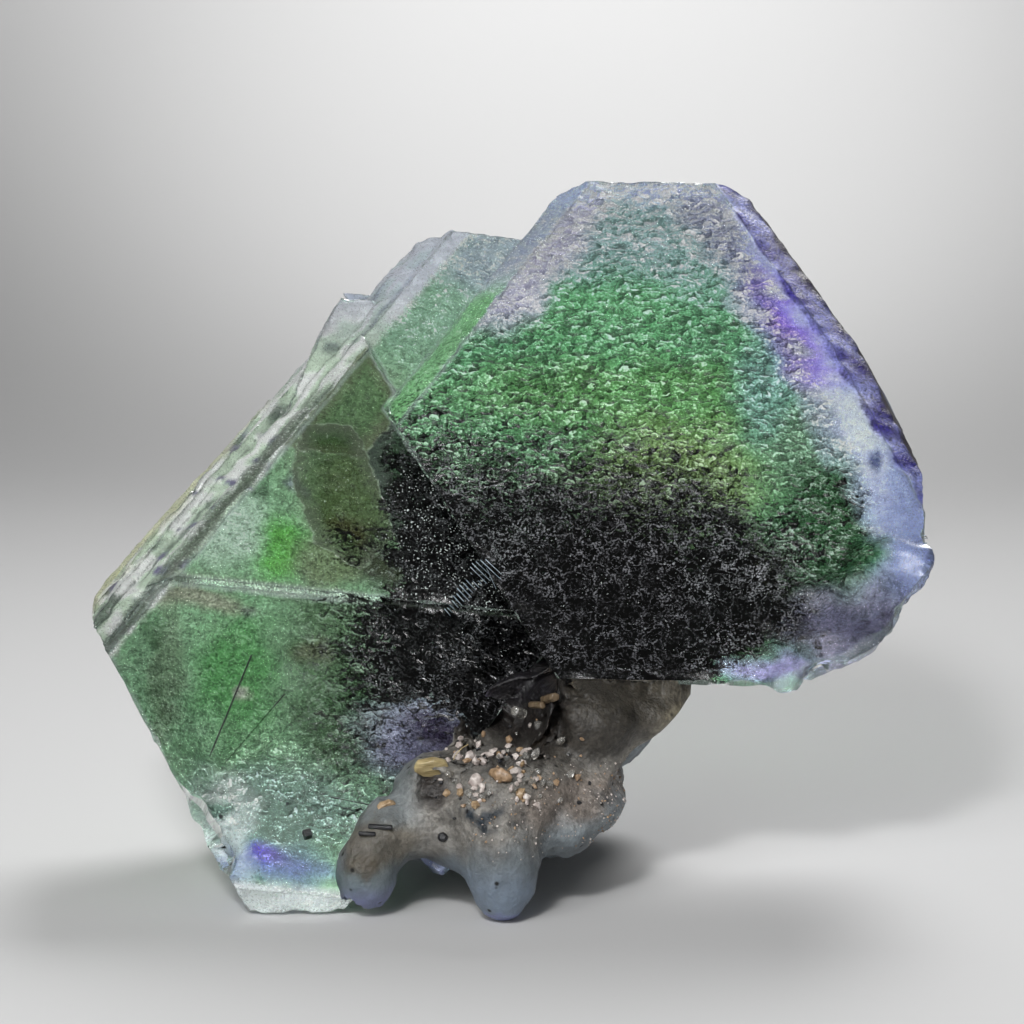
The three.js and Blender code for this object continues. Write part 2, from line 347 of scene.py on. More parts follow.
# degrees from the front face to a bevel, to a face that shares an edge with it and to one
# that shares only a corner, as on every octahedron
BEVEL, SHELVING, UNDERCUT = 35.26, 70.53, 109.47
SHARP_EDGE = math.radians(20)
spots = points_of(crystal_mesh)
outward = normals_of(crystal_mesh)
right = in_axes(spots, RIGHT_AXES)
left = in_axes(spots, LEFT_AXES)
BETWEEN = ((UNDERCUT, -150, 13.3), (SHELVING, 150, 14.6))
in_right = right[:, 2] < 0.05
for angle, looks, reach in BETWEEN:
    in_right &= right @ facing(angle, looks) < reach * math.sin(math.radians(angle)) + 0.05
own = np.where(in_right[:, None], right, left)
turns = np.where(in_right[:, None, None], np.array(RIGHT_AXES.to_3x3()), np.array(LEFT_AXES.to_3x3()))
own_normal = np.einsum("ni,nij->nj", outward, turns)
print("right crystal has", int(in_right.sum()), "points, left", int((~in_right).sum()))

sharp = np.zeros(len(spots), bool)
solid = bmesh.new()
solid.from_mesh(crystal_mesh)
for edge in solid.edges:
    if edge.is_manifold and edge.calc_face_angle() > SHARP_EDGE:
        for corner in edge.verts:
            sharp[corner.index] = True
solid.free()
edge_tree = KDTree(int(sharp.sum()))
for at in np.nonzero(sharp)[0]:
    edge_tree.insert(Vector(spots[at]), int(at))
edge_tree.balance()
from_edge = np.array([edge_tree.find(Vector(p))[2] for p in spots]) / MM
print("edge points", int(sharp.sum()), "furthest from an edge", round(from_edge.max(), 1), "mm")

# %% Moves of the points
LAYER = 0.85


def layering(at):
    """Where a point lies in the layers, LAYER mm thick, of the left crystal's upper side.

    The answer is 0 in a gap between two layers and 1 on a ridge.
    """
    deep = at[:, 2] + 1.1 * noise_at(at * (0.12, 0.12, 1), 3.2, 10.0) + 0.3 * noise_at(at, 1.5, 11.0)
    deep += 0.5 * noise_at(at * (0.04, 0.04, 1), 1.7, 12.0)
    return np.abs((deep / LAYER) % 1 - 0.5) * 2


u, v = own.T[:2]
front = own_normal[:, 2] > 0.9
millimetres = spots / MM
move = np.zeros(len(spots))
# low, broad unevenness on every face
move += 0.05 * noise_at(millimetres, 3.0, 1.0) + 0.03 * noise_at(millimetres, 1.1, 2.0)
# nibbled edges
nibble = np.clip(noise_at(millimetres, 1.3, 3.0) + 0.5 * noise_at(millimetres, 0.5, 4.0), -0.3, 1)
move -= 0.22 * (nibble + 0.3) * (1 - soft(from_edge, 0.1, 0.9))
# growth steps: flat terraces one over another on the front faces
steps = (noise_at(own * (1, 1.6, 1), 4.5, 5.0) + 0.25 * noise_at(own, 1.2, 6.0)) * 3.0
terrace = np.floor(steps) + soft(steps - np.floor(steps), 0.75, 1.0)
move += np.where(front, 0.05 * terrace, 0)
# the wavy outer rim of the right crystal
rim = in_right & (own @ facing(BEVEL, 27) > 11.3 * math.sin(math.radians(BEVEL)) - 0.8) & (v < 17)
move += np.where(rim, 0.06 * noise_at(own, 1.6, 7.0) + 0.06 * noise_at(own, 0.7, 8.0), 0)
# flaked chips at the left crystal's lower left corner
chipped = (~in_right) * (1 - soft(np.hypot((u + 3.0) / 2.2, (v + 17.0) / 3.6), 0.7, 1.1))
move -= chipped * 0.75 * np.minimum(cells_at(millimetres, 1.9, 12.0)[:, 0], 1.0)
# the broken lower right corner
corner = in_right * soft(u - 0.6 * v, 12.5, 16.5) * (1 - soft(v, -8.5, -5))
shell = np.minimum(cells_at(millimetres, 3.2, 9.0)[:, 0], 2.2)
move += corner * (0.20 * shell * shell - 0.45)
# lamellae that run along the left crystal's upper side
upper_side = (~in_right) & (own_normal @ facing(SHELVING, 150) > 0.6)
move += np.where(upper_side, 0.20 * (layering(own) - 0.5) + 0.12 * noise_at(own, 2.2, 11.0), 0)
spots = spots + outward * (move * MM)[:, None]
crystal_mesh.vertices.foreach_set("co", spots.ravel())
crystal_mesh.update()
crystal_mesh.shade_smooth()
crystal_mesh.set_sharp_from_angle(angle=math.radians(32))
print("moves from", round(move.min(), 2), "to", round(move.max(), 2), "mm")

# %% [markdown]
# ## Colour zones
# Fluorite takes up different traces as it grows, so its colour lies in zones that follow
# the faces: here an emerald heart and lilac rims. The lower part in front of the crust is
# painted near black, as painted shade where the crystal is thick. The zones are worked out
# for each point from where it lies on its crystal, warped with noise so that no border is
# straight, and stored as a colour attribute.

# %% Helpers for zones
def edge_gap(round_by, reach, at):
    """Distance in from the edge of a front face that looks `round_by` degrees at `reach` mm."""
    turn = math.radians(round_by)
    return reach - (at[:, 0] * math.cos(turn) + at[:, 1] * math.sin(turn))


def patch(at, middle, size, turn=0.0, blur=0.5):
    """A soft oval on a crystal's front: 1 inside, 0 outside. Sizes in mm."""
    c, s = math.cos(math.radians(turn)), math.sin(math.radians(turn))
    du, dv = at[:, 0] - middle[0], at[:, 1] - middle[1]
    far = np.hypot((du * c + dv * s) / size[0], (dv * c - du * s) / size[1])
    return 1 - soft(far, 1 - blur, 1 + blur)


def lay(paint, code, share):
    """Lays a colour over the paint; `share` is how much of it each point takes."""
    return paint + (np.array(linear(code)[:3]) - paint) * np.clip(share, 0, 1)[:, None]


def plain(code, count):
    return np.tile(np.array(linear(code)[:3]), (count, 1))


def warped(at, seed):
    """The places pushed about by noise, so that no border drawn on them is straight."""
    push = [noise_at(at, 2.4, seed + k) + 0.45 * noise_at(at, 0.8, seed + 10 + k) for k in range(3)]
    return at + 0.9 * np.stack(push, 1)


# %% Zones of the right crystal
near = warped(right, 20.0)
across, up = near.T[:2]
streaky = noise_at(right * (0.5, 1, 1), 1.3, 40.0)
heart = plain("4ba55c", len(near))
for code, share in (
    ("a2e6d6", soft(up, 8.5, 14.5)),
    ("4cae58", patch(near, (-3.5, 7.5), (5, 3.5))),
    ("48963c", patch(near, (-1, 2.5), (11, 2.6))),
    ("7a962c", patch(near, (0.4, -3.4), (5.2, 3.8)) * 0.75),
    ("62a48c", patch(near, (5.8, 3.0), (1.8, 4))),
    ("4c7d55", patch(near, (7.6, -1.5), (2.2, 3.0))),
):
    heart = lay(heart, code, share)
# painted shade: dark marks the lower middle, thick and in front of the crust, painted near black here and in
# the material
dark = 1 - soft(up + 0.16 * across - 0.9 + 1.1 * streaky, -12.5, 4.2)
dark *= 1 - soft(across + 0.28 * (up + 4), 2.6, 8.2)
dark *= 1 - 0.9 * patch(near, (6.8, -16.8), (3.6, 2.4))
heart = lay(heart, "141d19", patch(near, (7.0, -10), (3.5, 4.0)))
heart = lay(heart, "26291c", 0.85 * soft(dark, 0.0, 0.7))
emerald = patch(near, (9.2, -6.4), (2.9, 4.2), 0, 0.4)
heart = lay(heart, "113e17", emerald)
to_bc = np.minimum(edge_gap(30, 11.4, near), edge_gap(24, 11.3, near))
to_right = np.minimum(edge_gap(0, 14.7, near), edge_gap(-26, 17.1, near))
lilac = 1 - soft(to_bc, 2.0, 3.9)
smooth_rim = 1 - soft(to_bc + 0.12 * (up - 6), 0.9, 2.2)
upper_left = (1 - soft(edge_gap(150, 13.27, near), 1.0, 3.2)) * soft(up, 6, 9)
top_rim = 1 - soft(18.3 - up, 0.6, 2.4)
for code, share in (
    ("c0caff", lilac),
    ("dcdcff", upper_left),
    ("bac8f4", top_rim),
    ("6430e4", patch(near, (6.0, 9.6), (1.2, 3.2), 25) * (0.9 + 0.9 * streaky)),
    ("8050f0", patch(near, (7.6, 5.8), (1.5, 3.0), 30) * (0.85 + 0.9 * streaky)),
    ("e6edff", lilac * soft(streaky, -0.1, 0.35) * 0.8),
    ("e4eeff", patch(near, (11.3, 0.8), (1.3, 2.0), 25)),
    ("3c4678", patch(right, (11.9, -1.9), (0.3, 0.9), 0, 0.3)),
    ("9aa8dc", (1 - soft(to_right, 1.4, 3.0)) * (1 - soft(up, -2, 1))),
    ("6a6488", patch(near, (10.8, -13.2), (3.8, 2.6), 20)),
    ("8a84bc", patch(near, (6.2, -16.1), (2.6, 1.0))),
):
    heart = lay(heart, code, share)
strip_right = soft(-edge_gap(27, 11.35, right) + 0.5 * streaky, -0.9, -0.4) * (right[:, 0] > 0)
heart = lay(heart, "1e1268", strip_right * (0.85 + 0.3 * streaky))
deep_right = 1 - soft(right[:, 2] + 1.5 * noise_at(right, 3.0, 54.0), -9, -4)
for code, share in (
    ("180e1c", strip_right * soft(-right[:, 2] + 0.5 * streaky, 0.7, 1.4)),
    ("5a5c9c", strip_right * deep_right * 0.7),
    ("4f7f62", strip_right * deep_right * soft(noise_at(right, 4.0, 55.0), -0.1, 0.3) * 0.8),
):
    heart = lay(heart, code, share)
strip_left = (edge_gap(150, 13.35, right) < 0.2) & (right[:, 2] < -0.1)
heart = lay(heart, "b4c6ee", strip_left * soft(up, 10, 14))
heart = lay(heart, "6fc06e", strip_left * (1 - soft(up, 9, 13)))

# %% Zones of the left crystal
near_left = warped(left, 60.0)
across, up = near_left.T[:2]
streaky_left = noise_at(left * (0.5, 1, 1), 1.3, 45.0)
body = plain("669a6a", len(near_left))
for code, share in (
    ("a8e0bc", soft(up, 13, 19)),
    ("c8daf0", patch(near_left, (11, 23.5), (3.5, 3))),
    ("63885f", patch(near_left, (2.5, 10), (4.5, 4.5))),
    ("48592f", patch(near_left, (3.2, 4.5), (3.0, 4.2))),
    ("3c9a26", patch(near_left, (-0.6, 0.6), (1.5, 1.9))),
):
    body = lay(body, code, share)
olive = patch(near_left, (3.2, 1.6), (1.5, 1.6))
for code, share in (
    ("3a2a10", olive),
    ("4c6038", patch(near_left, (2.4, 0.2), (2.2, 1.7))),
    ("1a2010", patch(near_left, (5.4, 0.2), (1.7, 1.7))),
    ("a9cdb2", patch(near_left, (-3.6, 1.8), (2.2, 2.4))),
    ("2c722b", patch(near_left, (-2.4, -7.5), (2.4, 4.6))),
    ("54744f", patch(near_left, (-6.3, -8.0), (0.8, 4.5))),
):
    body = lay(body, code, share)

under_ledge = 1 - soft(left[:, 1] + 1.75 + 0.012 * left[:, 0], -0.2, 0.2)
inward = across + 0.12 * up + 0.9 * streaky_left
# painted shade: below the ledge the left crystal darkens to a deep green, then into the painted shadow
body = lay(body, "2b4a27", soft(inward, -2.8, 0.8) * under_ledge * soft(up, -15, -11))
shadow = soft(inward, -1.0, 6.6) * under_ledge * (1 - 0.5 * (1 - soft(up, -14, -9)))
shadow += soft(inward, 4.6, 6.6) * (1 - under_ledge) * (1 - soft(up, 6, 11))
for code, share in (
    # more painted shade, in dark green, beside the crust
    ("1f401d", patch(near_left, (3.4, -10.2), (2.3, 2.6)) * 0.85),
    ("64857a", patch(near_left, (0.5, -15.8), (5.5, 2.6))),
    ("9fb0cc", patch(near_left, (-2.4, -19.2), (1.4, 2.4))),
):
    body = lay(body, code, share)
# a lilac haze beside the crust, darker in its middle
haze = patch(near_left, (8.0, -10.6), (3.0, 2.6))
shadow *= 1 - 0.6 * haze
body = lay(body, "77749a", haze)
body = lay(body, "2c2146", patch(near_left, (8.6, -9.6), (1.6, 1.2)))
# small clouds and clumps
for code, middle_at, size in (("7f7566", (-5.0, -2.8), (2.4, 0.8)), ("382c3c", (-2.4, -3.1), (0.5, 0.5)),
                              ("2c5028", (-7.2, -5.6), (0.6, 1.0)), ("1f3c22", (-1.8, 4.3), (0.7, 0.6)),
                              ("4c4468", (0.2, 5.2), (0.35, 0.6)), ("b4a8a4", (-2.0, -8.6), (0.35, 0.4)),
                              ("3a3a24", (2.0, -5.6), (1.2, 0.9))):
    body = lay(body, code, patch(near_left, middle_at, size) * 0.8)
body = lay(body, "dcecee", patch(near_left, (-3.0, -16.6), (1.7, 2.6)) * soft(streaky_left, -0.3, 0.0))
along_ledge = np.abs(left[:, 1] + 1.75 + 0.012 * left[:, 0] + 0.15 * streaky_left)
ledge = (1 - soft(along_ledge, 0.15, 0.42)) * (left[:, 0] < 4.5)
body = lay(body, "667a5e", ledge * 0.8)
body = lay(body, "4a38b8", patch(near_left, (0.8, -19.2), (2.3, 1.3)) * (0.8 + 0.8 * streaky_left))
# the upper side: a dark groove, pale layers in flakes, and a yellowish outer rim; the white of the layers is
# partly painted light of the backlight that comes through them
out_over = -edge_gap(150, 4.6, left) + 0.12 * streaky_left
band = soft(out_over, -0.25, 0.05) * (1 - soft(up, 27, 30))
flaky = noise_at(left * (0.5, 0.5, 1.6), 1.4, 51.0)
stripes = layering(left)
for code, share in (
    ("c2d4bf", band),
    ("ffffff", band * soft(noise_at(left * (1, 1, 0.4), 1.6, 50.0) + 0.4 * flaky, 0.0, 0.2)),
    # the next two: painted highlight on the ridges of the layers, and painted shade in the gaps between them
    ("ffffff", band * soft(stripes + 0.9 * flaky, 0.60, 0.85)),
    ("5f6c62", band * (1 - soft(stripes + 0.6 * flaky, 0.05, 0.20)) * 0.9),
    ("cdd4f2", band * soft(up, 14, 22) * 0.6),
    ("6a6488", band * soft(noise_at(left, 1.0, 52.0), 0.36, 0.46) * (1 - soft(up, 8, 12))),
):
    body = lay(body, code, share)
yellowed = soft(out_over + 0.9 * noise_at(left, 3.0, 53.0), 2.9, 3.9) * band * (1 - soft(up, 8, 15))
body = lay(body, "dcdca8", yellowed * 0.8)
groove_share = soft(out_over, -0.1, 0.2) * (1 - soft(out_over, 0.8, 1.3)) * (1 - soft(up, 9, 15))
body = lay(body, "4a5246", groove_share * 0.9)
# the bottom facet is near white: partly frost, partly painted light of the backlight coming through it
body = lay(body, "f6fbff", 1 - soft(edge_gap(-90, 20.7, left), 0.0, 0.5))
print("mean colours", np.round(heart.mean(0), 3), np.round(body.mean(0), 3))

# %% Store the zones on the corners of the faces
# Each face takes the values of the crystal that its middle is on, so the seam stays crisp.
scales = soft(right[:, 1], -8, -1) * (1 - strip_right) * (1 - 0.75 * strip_left) * (1 - 0.8 * smooth_rim)
scales = np.maximum(scales, 0.9 * emerald)
lace = np.clip(0.8 * dark + 0.5 * patch(near, (6.5, -12), (3.5, 3.0)), 0, 1)
lace_left = 0.3 * shadow + 0.2 * patch(near_left, (2.4, -10), (4, 5)) * under_ledge
broken = 0.35 + 0.65 * soft(noise_at(right, 1.6, 70.0) + 0.5 * noise_at(right, 0.7, 71.0), -0.3, 0.3)
broken *= 0.55 + 0.45 * soft(right[:, 1], -13, -9)
broken_left = 0.2 + 0.8 * soft(noise_at(left, 1.6, 72.0) + 0.5 * noise_at(left, 0.7, 73.0), -0.2, 0.3)
frost = np.clip(0.9 * smooth_rim + 0.3 * upper_left + 0.5 * top_rim, 0, 1) * (1 - strip_right)
frost_left = band + patch(near_left, (-2.4, -19), (2.4, 3.0)) + 0.85 * soft(-left[:, 1], 20.4, 20.8)
frost_left = np.clip(frost_left, 0, 1)
frost_left = np.maximum(frost_left, 0.3 * soft(near_left[:, 1], 12, 20)) * (1 - 0.6 * groove_share)
left_scales = 0.22 + 0.3 * soft(near_left[:, 1], 13, 18) * (1 - band)
left_scales += 0.5 * patch(near_left, (1.0, -15), (6, 4))
left_scales += 0.3 * under_ledge * shadow
# painted glints: where the pale sparks of the material show
glitter = (0.12 + 0.15 * lilac + 0.35 * (1 - dark) + 0.35 * soft(near[:, 1], 8, 13)) * (1 - strip_right)
glitter_left = 0.3 + 0.4 * patch(near_left, (1.0, -15.5), (5, 3)) + 0.4 * patch(near_left, (-3, 2), (3, 3.5))
glitter_left -= 0.25 * band
glitter_left *= 1 - soft(-left[:, 1], 20.3, 20.7)
glitter_left = np.where(under_ledge > 0.5, glitter_left * (1 - 0.6 * shadow),
                        np.maximum(glitter_left, 0.8 * shadow))
glitter_left = np.maximum(glitter_left, 0.75 * patch(near_left, (8.5, 4.0), (2.2, 6.0), 30))

corner_point = np.empty(len(crystal_mesh.loops), int)
crystal_mesh.loops.foreach_get("vertex_index", corner_point)
face_sides = np.empty(len(crystal_mesh.polygons), int)
crystal_mesh.polygons.foreach_get("loop_total", face_sides)
face_of_corner = np.repeat(np.arange(len(face_sides)), face_sides)
middles = np.empty(len(face_sides) * 3)
crystal_mesh.polygons.foreach_get("center", middles)
middles = in_axes(middles.reshape(-1, 3), RIGHT_AXES)
on_right = (middles[:, 2] < 0.35) | (middles[:, 0] > 3)
for angle, looks, reach in BETWEEN:
    on_right &= middles @ facing(angle, looks) < reach * math.sin(math.radians(angle)) + 0.1
corner_right = on_right[face_of_corner]


def keep(mesh, name, kind, values, domain="POINT"):
    """Stores values under a name that the material reads."""
    layer = mesh.attributes.new(name, kind, domain)
    field = {"FLOAT": "value", "FLOAT_VECTOR": "vector", "FLOAT_COLOR": "color"}[kind]
    layer.data.foreach_set(field, np.ascontiguousarray(values, np.float32).ravel())


def by_crystal(of_right, of_left):
    """Picks each corner's value from the crystal that its face is on."""
    chosen = corner_right if of_right.ndim == 1 else corner_right[:, None]
    return np.where(chosen, of_right[corner_point], of_left[corner_point])


# textures are laid on flat, from the side that each face looks to; the parts are kept apart
own_corner = by_crystal(right, left)
face_normals = np.empty(len(face_sides) * 3)
crystal_mesh.polygons.foreach_get("normal", face_normals)
face_normals = face_normals.reshape(-1, 3)
looks = np.where(on_right[:, None], face_normals @ np.array(RIGHT_AXES.to_3x3()),
                 face_normals @ np.array(LEFT_AXES.to_3x3()))
looks = looks[face_of_corner]
u, v, w = own_corner.T
from_front = np.abs(looks[:, 2]) > 0.6
from_side = ~from_front & (np.abs(looks[:, 0]) > np.abs(looks[:, 1]))
flat_place = np.stack([np.where(from_front, u, np.where(from_side, w + 60, u + 120)),
                       np.where(from_front, v, np.where(from_side, v, w + 60)),
                       by_crystal(0 * dark, 1 - under_ledge)], 1)
flat_place[:, 0] += 200 * (from_front & (looks[:, 2] < 0)) + 400 * corner_right

# the faces behind let the light in: they are nearly clear, with lilac near the top
behind = soft(face_normals[:, 1], 0.0, 0.4)[face_of_corner]
clear_back = lay(plain("c8e6d0", len(u)), "d2d0f4", soft(v, 6, 14) * corner_right)
GLOW = 1.2
zones = by_crystal(heart, body) * GLOW
zones += (clear_back - zones) * behind[:, None]
zones /= np.maximum(zones.max(1, keepdims=True), 1)
# painted light: the upper scales of the right crystal and its lilac rim are made brighter
brighter = np.maximum(0.8 * soft(near[:, 1], 6.5, 12) * scales, 0.15 * lilac * (1 - strip_right))
zones *= 1 + (by_crystal(brighter, 0 * dark) * (1 - behind))[:, None]
keep(crystal_mesh, "zone colour", "FLOAT_COLOR", np.c_[zones, np.ones(len(zones))], "CORNER")
keep(crystal_mesh, "flat place", "FLOAT_VECTOR", flat_place, "CORNER")
shares = np.stack([by_crystal(scales, left_scales) * (1 - 0.8 * behind),
                   by_crystal(lace * broken, lace_left * broken_left) * (1 - behind),
                   by_crystal(frost, frost_left) * (1 - behind)], 1)
keep(crystal_mesh, "scales, lace, frost", "FLOAT_VECTOR", np.clip(shares, 0, 1), "CORNER")
left_dark = (0.95 * shadow + 0.5 * olive) * (1 - frost_left)
solidness = np.stack([by_crystal(dark + 0.35 * emerald, left_dark) * (1 - behind),
                      by_crystal(strip_right * (1 - 0.6 * deep_right), 0.25 * ledge) * (1 - behind),
                      by_crystal(0 * dark, 1 - under_ledge)], 1)
keep(crystal_mesh, "dark, clouded, above", "FLOAT_VECTOR", np.clip(solidness, 0, 1), "CORNER")
others = np.stack([by_crystal(glitter, glitter_left), from_edge[corner_point], corner_right * 1.0], 1)
keep(crystal_mesh, "glitter, edge, right", "FLOAT_VECTOR", others, "CORNER")

# %% [markdown]
# ## Fluorite
# Fluorite is a soft, glassy mineral with a low index of refraction, 1.434, so light goes
# straight in and little is reflected. Its faces are covered with tiny growth hillocks, which
# break the light up into bright and dark scales; that light and shade is also painted into
# their colour.

# %% Fluorite material: places and shares
fluorite_look, tree, shader = new_material("fluorite, natural faces")
place = node(tree, "Attribute", attribute_name="flat place").outputs["Vector"]
zone = node(tree, "Attribute", attribute_name="zone colour").outputs["Color"]
stored = node(tree, "Attribute", attribute_name="scales, lace, frost").outputs["Vector"]
scale_share, lace_share, frost_share = node(tree, "SeparateXYZ", {0: stored}).outputs
stored = node(tree, "Attribute", attribute_name="glitter, edge, right").outputs["Vector"]
glitter_share, edge_far, right_share = node(tree, "SeparateXYZ", {0: stored}).outputs
stored = node(tree, "Attribute", attribute_name="dark, clouded, above").outputs["Vector"]
dark_share, clouded, above_share = node(tree, "SeparateXYZ", {0: stored}).outputs

# %% Fluorite material: the noises that the patterns share
# slow sway 0.8 mm wide, folds 0.5 mm wide, fine grain 0.15 mm wide and grit 0.12 mm wide
sway = node(tree, "TexNoise", {"Vector": place, "Scale": 1.3, "Detail": 2.0},
            noise_dimensions="2D").outputs["Color"]
folds = node(tree, "TexNoise", {"Vector": place, "Scale": 2.0, "Detail": 4.0, "Roughness": 0.6},
             noise_dimensions="2D")
fine = node(tree, "TexNoise", {"Vector": place, "Scale": 6.5, "Detail": 3.0, "Roughness": 0.65},
            noise_dimensions="2D")
grit = node(tree, "TexNoise", {"Vector": place, "Scale": 8.0, "Detail": 1.0}, noise_dimensions="2D")

# %% Fluorite material: hillocks
# 0.46 mm wide and 0.31 mm tall, each leaning its own way and with a tone of its own, with painted light
# above and painted shade at the foot
swayed = node(tree, "VectorMath", {0: sway, 1: (0.8, 0.8, 0), 2: place}, operation="MULTIPLY_ADD")
squeezed = node(tree, "VectorMath", {0: swayed, 1: (1 / 0.46, 1 / 0.31, 0)}, operation="MULTIPLY")
hillock = node(tree, "TexVoronoi", {"Vector": squeezed, "Scale": 1.0}, voronoi_dimensions="2D")
offset = node(tree, "VectorMath", {0: squeezed, 1: hillock.outputs["Position"]}, operation="SUBTRACT")
lean = node(tree, "VectorMath", {0: hillock.outputs["Color"], 1: (-0.5, -0.5, 0)}, operation="ADD")
tilt = node(tree, "VectorMath", {0: offset, 1: lean}, operation="DOT_PRODUCT")
dome = node(tree, "Math", {0: hillock.outputs["Distance"], 1: -0.5, 2: tilt}, operation="MULTIPLY_ADD")
luck = node(tree, "SeparateColor", {0: hillock.outputs["Color"]}).outputs["Red"]
height_in_cell = node(tree, "SeparateXYZ", {0: offset}).outputs["Y"]
lit = node(tree, "Math", {0: height_in_cell, 1: 0.8, 2: luck}, operation="MULTIPLY_ADD")
lit = node(tree, "Math", {0: tilt, 1: 1.8, 2: lit}, operation="MULTIPLY_ADD")
lit = node(tree, "Math", {0: fine, 1: 2.8, 2: lit}, operation="MULTIPLY_ADD")
doubled = node(tree, "MapRange", {0: lit, 1: 0.95, 2: 2.95, 3: -3.2, 4: 2.75})
scaly = node(tree, "Math", {0: 2.0, 1: doubled}, operation="POWER")

# %% Fluorite material: light and shade on the three kinds of face
# scales on most of the right crystal, grains like moss on the left one, flakes on the rims
grains = node(tree, "Math", {0: fine, 1: folds})
mossy = node(tree, "MapRange", {0: grains, 1: 0.74, 2: 1.28, 3: 0.30, 4: 1.95})
flaky_shade = node(tree, "MapRange", {0: luck, 1: 0.0, 2: 1.0, 3: 0.80, 4: 1.02})
shade = node(tree, "Mix", {0: scale_share, 2: mossy, 3: scaly}, data_type="FLOAT")
shade = node(tree, "Mix", {0: frost_share, 2: shade, 3: flaky_shade}, data_type="FLOAT")
shaded = node(tree, "VectorMath", {0: zone, "Scale": shade}, operation="SCALE")
# painted highlight: the brightest-lit tops are nearly white
top = node(tree, "MapRange", {0: lit, 1: 2.25, 2: 2.95, 3: 0.0, 4: 0.7})
top = node(tree, "Math", {0: top, 1: scale_share}, operation="MULTIPLY")
topped = node(tree, "Mix", {0: top, 6: shaded, 7: linear("e4f4ee")}, data_type="RGBA", clamp_result=True)
# violet cracks wander between the flakes of the rims
fold_line = node(tree, "Math", {0: folds, 1: 0.5}, operation="SUBTRACT")
fold_line = node(tree, "Math", {0: fold_line}, operation="ABSOLUTE")
crack = node(tree, "MapRange", {0: fold_line, 1: 0.003, 2: 0.018, 3: 0.75, 4: 0.0})
crack = node(tree, "Math", {0: crack, 1: frost_share}, operation="MULTIPLY")
crack = node(tree, "Math", {0: crack, 1: right_share}, operation="MULTIPLY")
cracked = node(tree, "Mix", {0: crack, 6: topped, 7: linear("6a62a4")}, data_type="RGBA")

# %% Fluorite material: the plates of the left crystal
# Thin plates of growth lie over each other, each with a crisp border and a tint of its own.
# A plate is where the distances outside all its sides are negative; corners go clockwise.
PLATES = (
    (((3.41, 15.4), (5.4, 12.4), (5.75, 11.3), (3.9, 7.4), (-0.9, 7.6)), "92a67e", "5f5a44"),
    (((0.1, 9.1), (1.7, 9.65), (3.1, 9.5), (3.9, 7.8), (6.1, 3.0), (4.0, -0.2), (1.4, 1.3), (-0.3, 5.5)),
     "8ea67c", "4f5443"),
    (((5.7, 11.2), (6.5, 10.0), (10.6, 3.4), (12.0, 0.6), (9.8, -2.2), (7.6, -2.2), (6.1, 1.8), (3.9, 7.8)),
     "3c4c44", "39433c"),
)
bent = node(tree, "VectorMath", {0: sway, 1: (0.6, 0.6, 0), 2: place}, operation="MULTIPLY_ADD")
bent = node(tree, "VectorMath", {0: bent, 1: (-0.3, -0.3, 0)}, operation="ADD")
colour = cracked
height = node(tree, "Math", {0: frost_share, 1: -0.30, 2: 0.38}, operation="MULTIPLY_ADD")
height = node(tree, "Math", {0: dark_share, 1: -0.24, 2: height}, operation="MULTIPLY_ADD")
height = node(tree, "Math", {0: fine, 1: height}, operation="MULTIPLY")
height = node(tree, "Math", {0: dome, 1: scale_share, 2: height}, operation="MULTIPLY_ADD")
left_share = node(tree, "Math", {0: 1.0, 1: right_share}, operation="SUBTRACT")
left_share = node(tree, "Math", {0: left_share, 1: above_share}, operation="MULTIPLY")
fading = node(tree, "MapRange", {0: folds, 1: 0.42, 2: 0.58, 3: 0.05, 4: 0.5})
fading = node(tree, "Math", {0: left_share, 1: fading}, operation="MULTIPLY")
for corners, tint, rim_tint in PLATES:
    depth = -100.0
    for here, there in zip(corners, corners[1:] + corners[:1]):
        along = Vector(there) - Vector(here)
        out = Vector((-along.y, along.x, 0)).normalized()
        side = node(tree, "VectorMath", {0: bent, 1: out}, operation="DOT_PRODUCT")
        side = node(tree, "Math", {0: side, 1: out.xy.dot(Vector(here))}, operation="SUBTRACT")
        depth = node(tree, "Math", {0: depth, 1: side}, operation="MAXIMUM")
    inside = node(tree, "MapRange", {0: depth, 1: -0.05, 2: 0.05, 3: 1.0, 4: 0.0})
    inside = node(tree, "Math", {0: inside, 1: left_share}, operation="MULTIPLY")
    colour = node(tree, "Mix", {0: inside, 6: colour, 7: linear(tint)}, data_type="RGBA",
                  blend_type="MULTIPLY")
    rim_band = node(tree, "MapRange", {0: depth, 1: -1.1, 2: -0.05, 3: 0.0, 4: 0.55})
    rim_band = node(tree, "Math", {0: rim_band, 1: inside}, operation="MULTIPLY")
    colour = node(tree, "Mix", {0: rim_band, 6: colour, 7: linear(rim_tint)}, data_type="RGBA")
    # painted highlight: a pale line along each plate's border
    border = node(tree, "Math", {0: depth}, operation="ABSOLUTE")
    border = node(tree, "MapRange", {0: border, 1: 0.02, 2: 0.09, 3: 1.0, 4: 0.0})
    border = node(tree, "Math", {0: border, 1: fading}, operation="MULTIPLY")
    colour = node(tree, "Mix", {0: border, 6: colour, 7: linear("9db394")}, data_type="RGBA")
    height = node(tree, "Math", {0: inside, 1: 0.4, 2: height}, operation="MULTIPLY_ADD")

# %% Fluorite material: dark part, sparks and lacework
# painted shade: the dark part starts between the hillocks, at their shaded feet, and then takes them over
# one by one
low_places = node(tree, "MapRange", {0: lit, 1: 0.9, 2: 2.8, 3: 0.28, 4: -0.45})
taken = node(tree, "Math", {0: dark_share, 1: 1.15, 2: low_places}, operation="MULTIPLY_ADD")
dark_here = node(tree, "MapRange", {0: taken, 1: 0.28, 2: 0.62})
darkened = node(tree, "Mix", {0: dark_here, 6: colour, 7: linear("000000")}, data_type="RGBA")
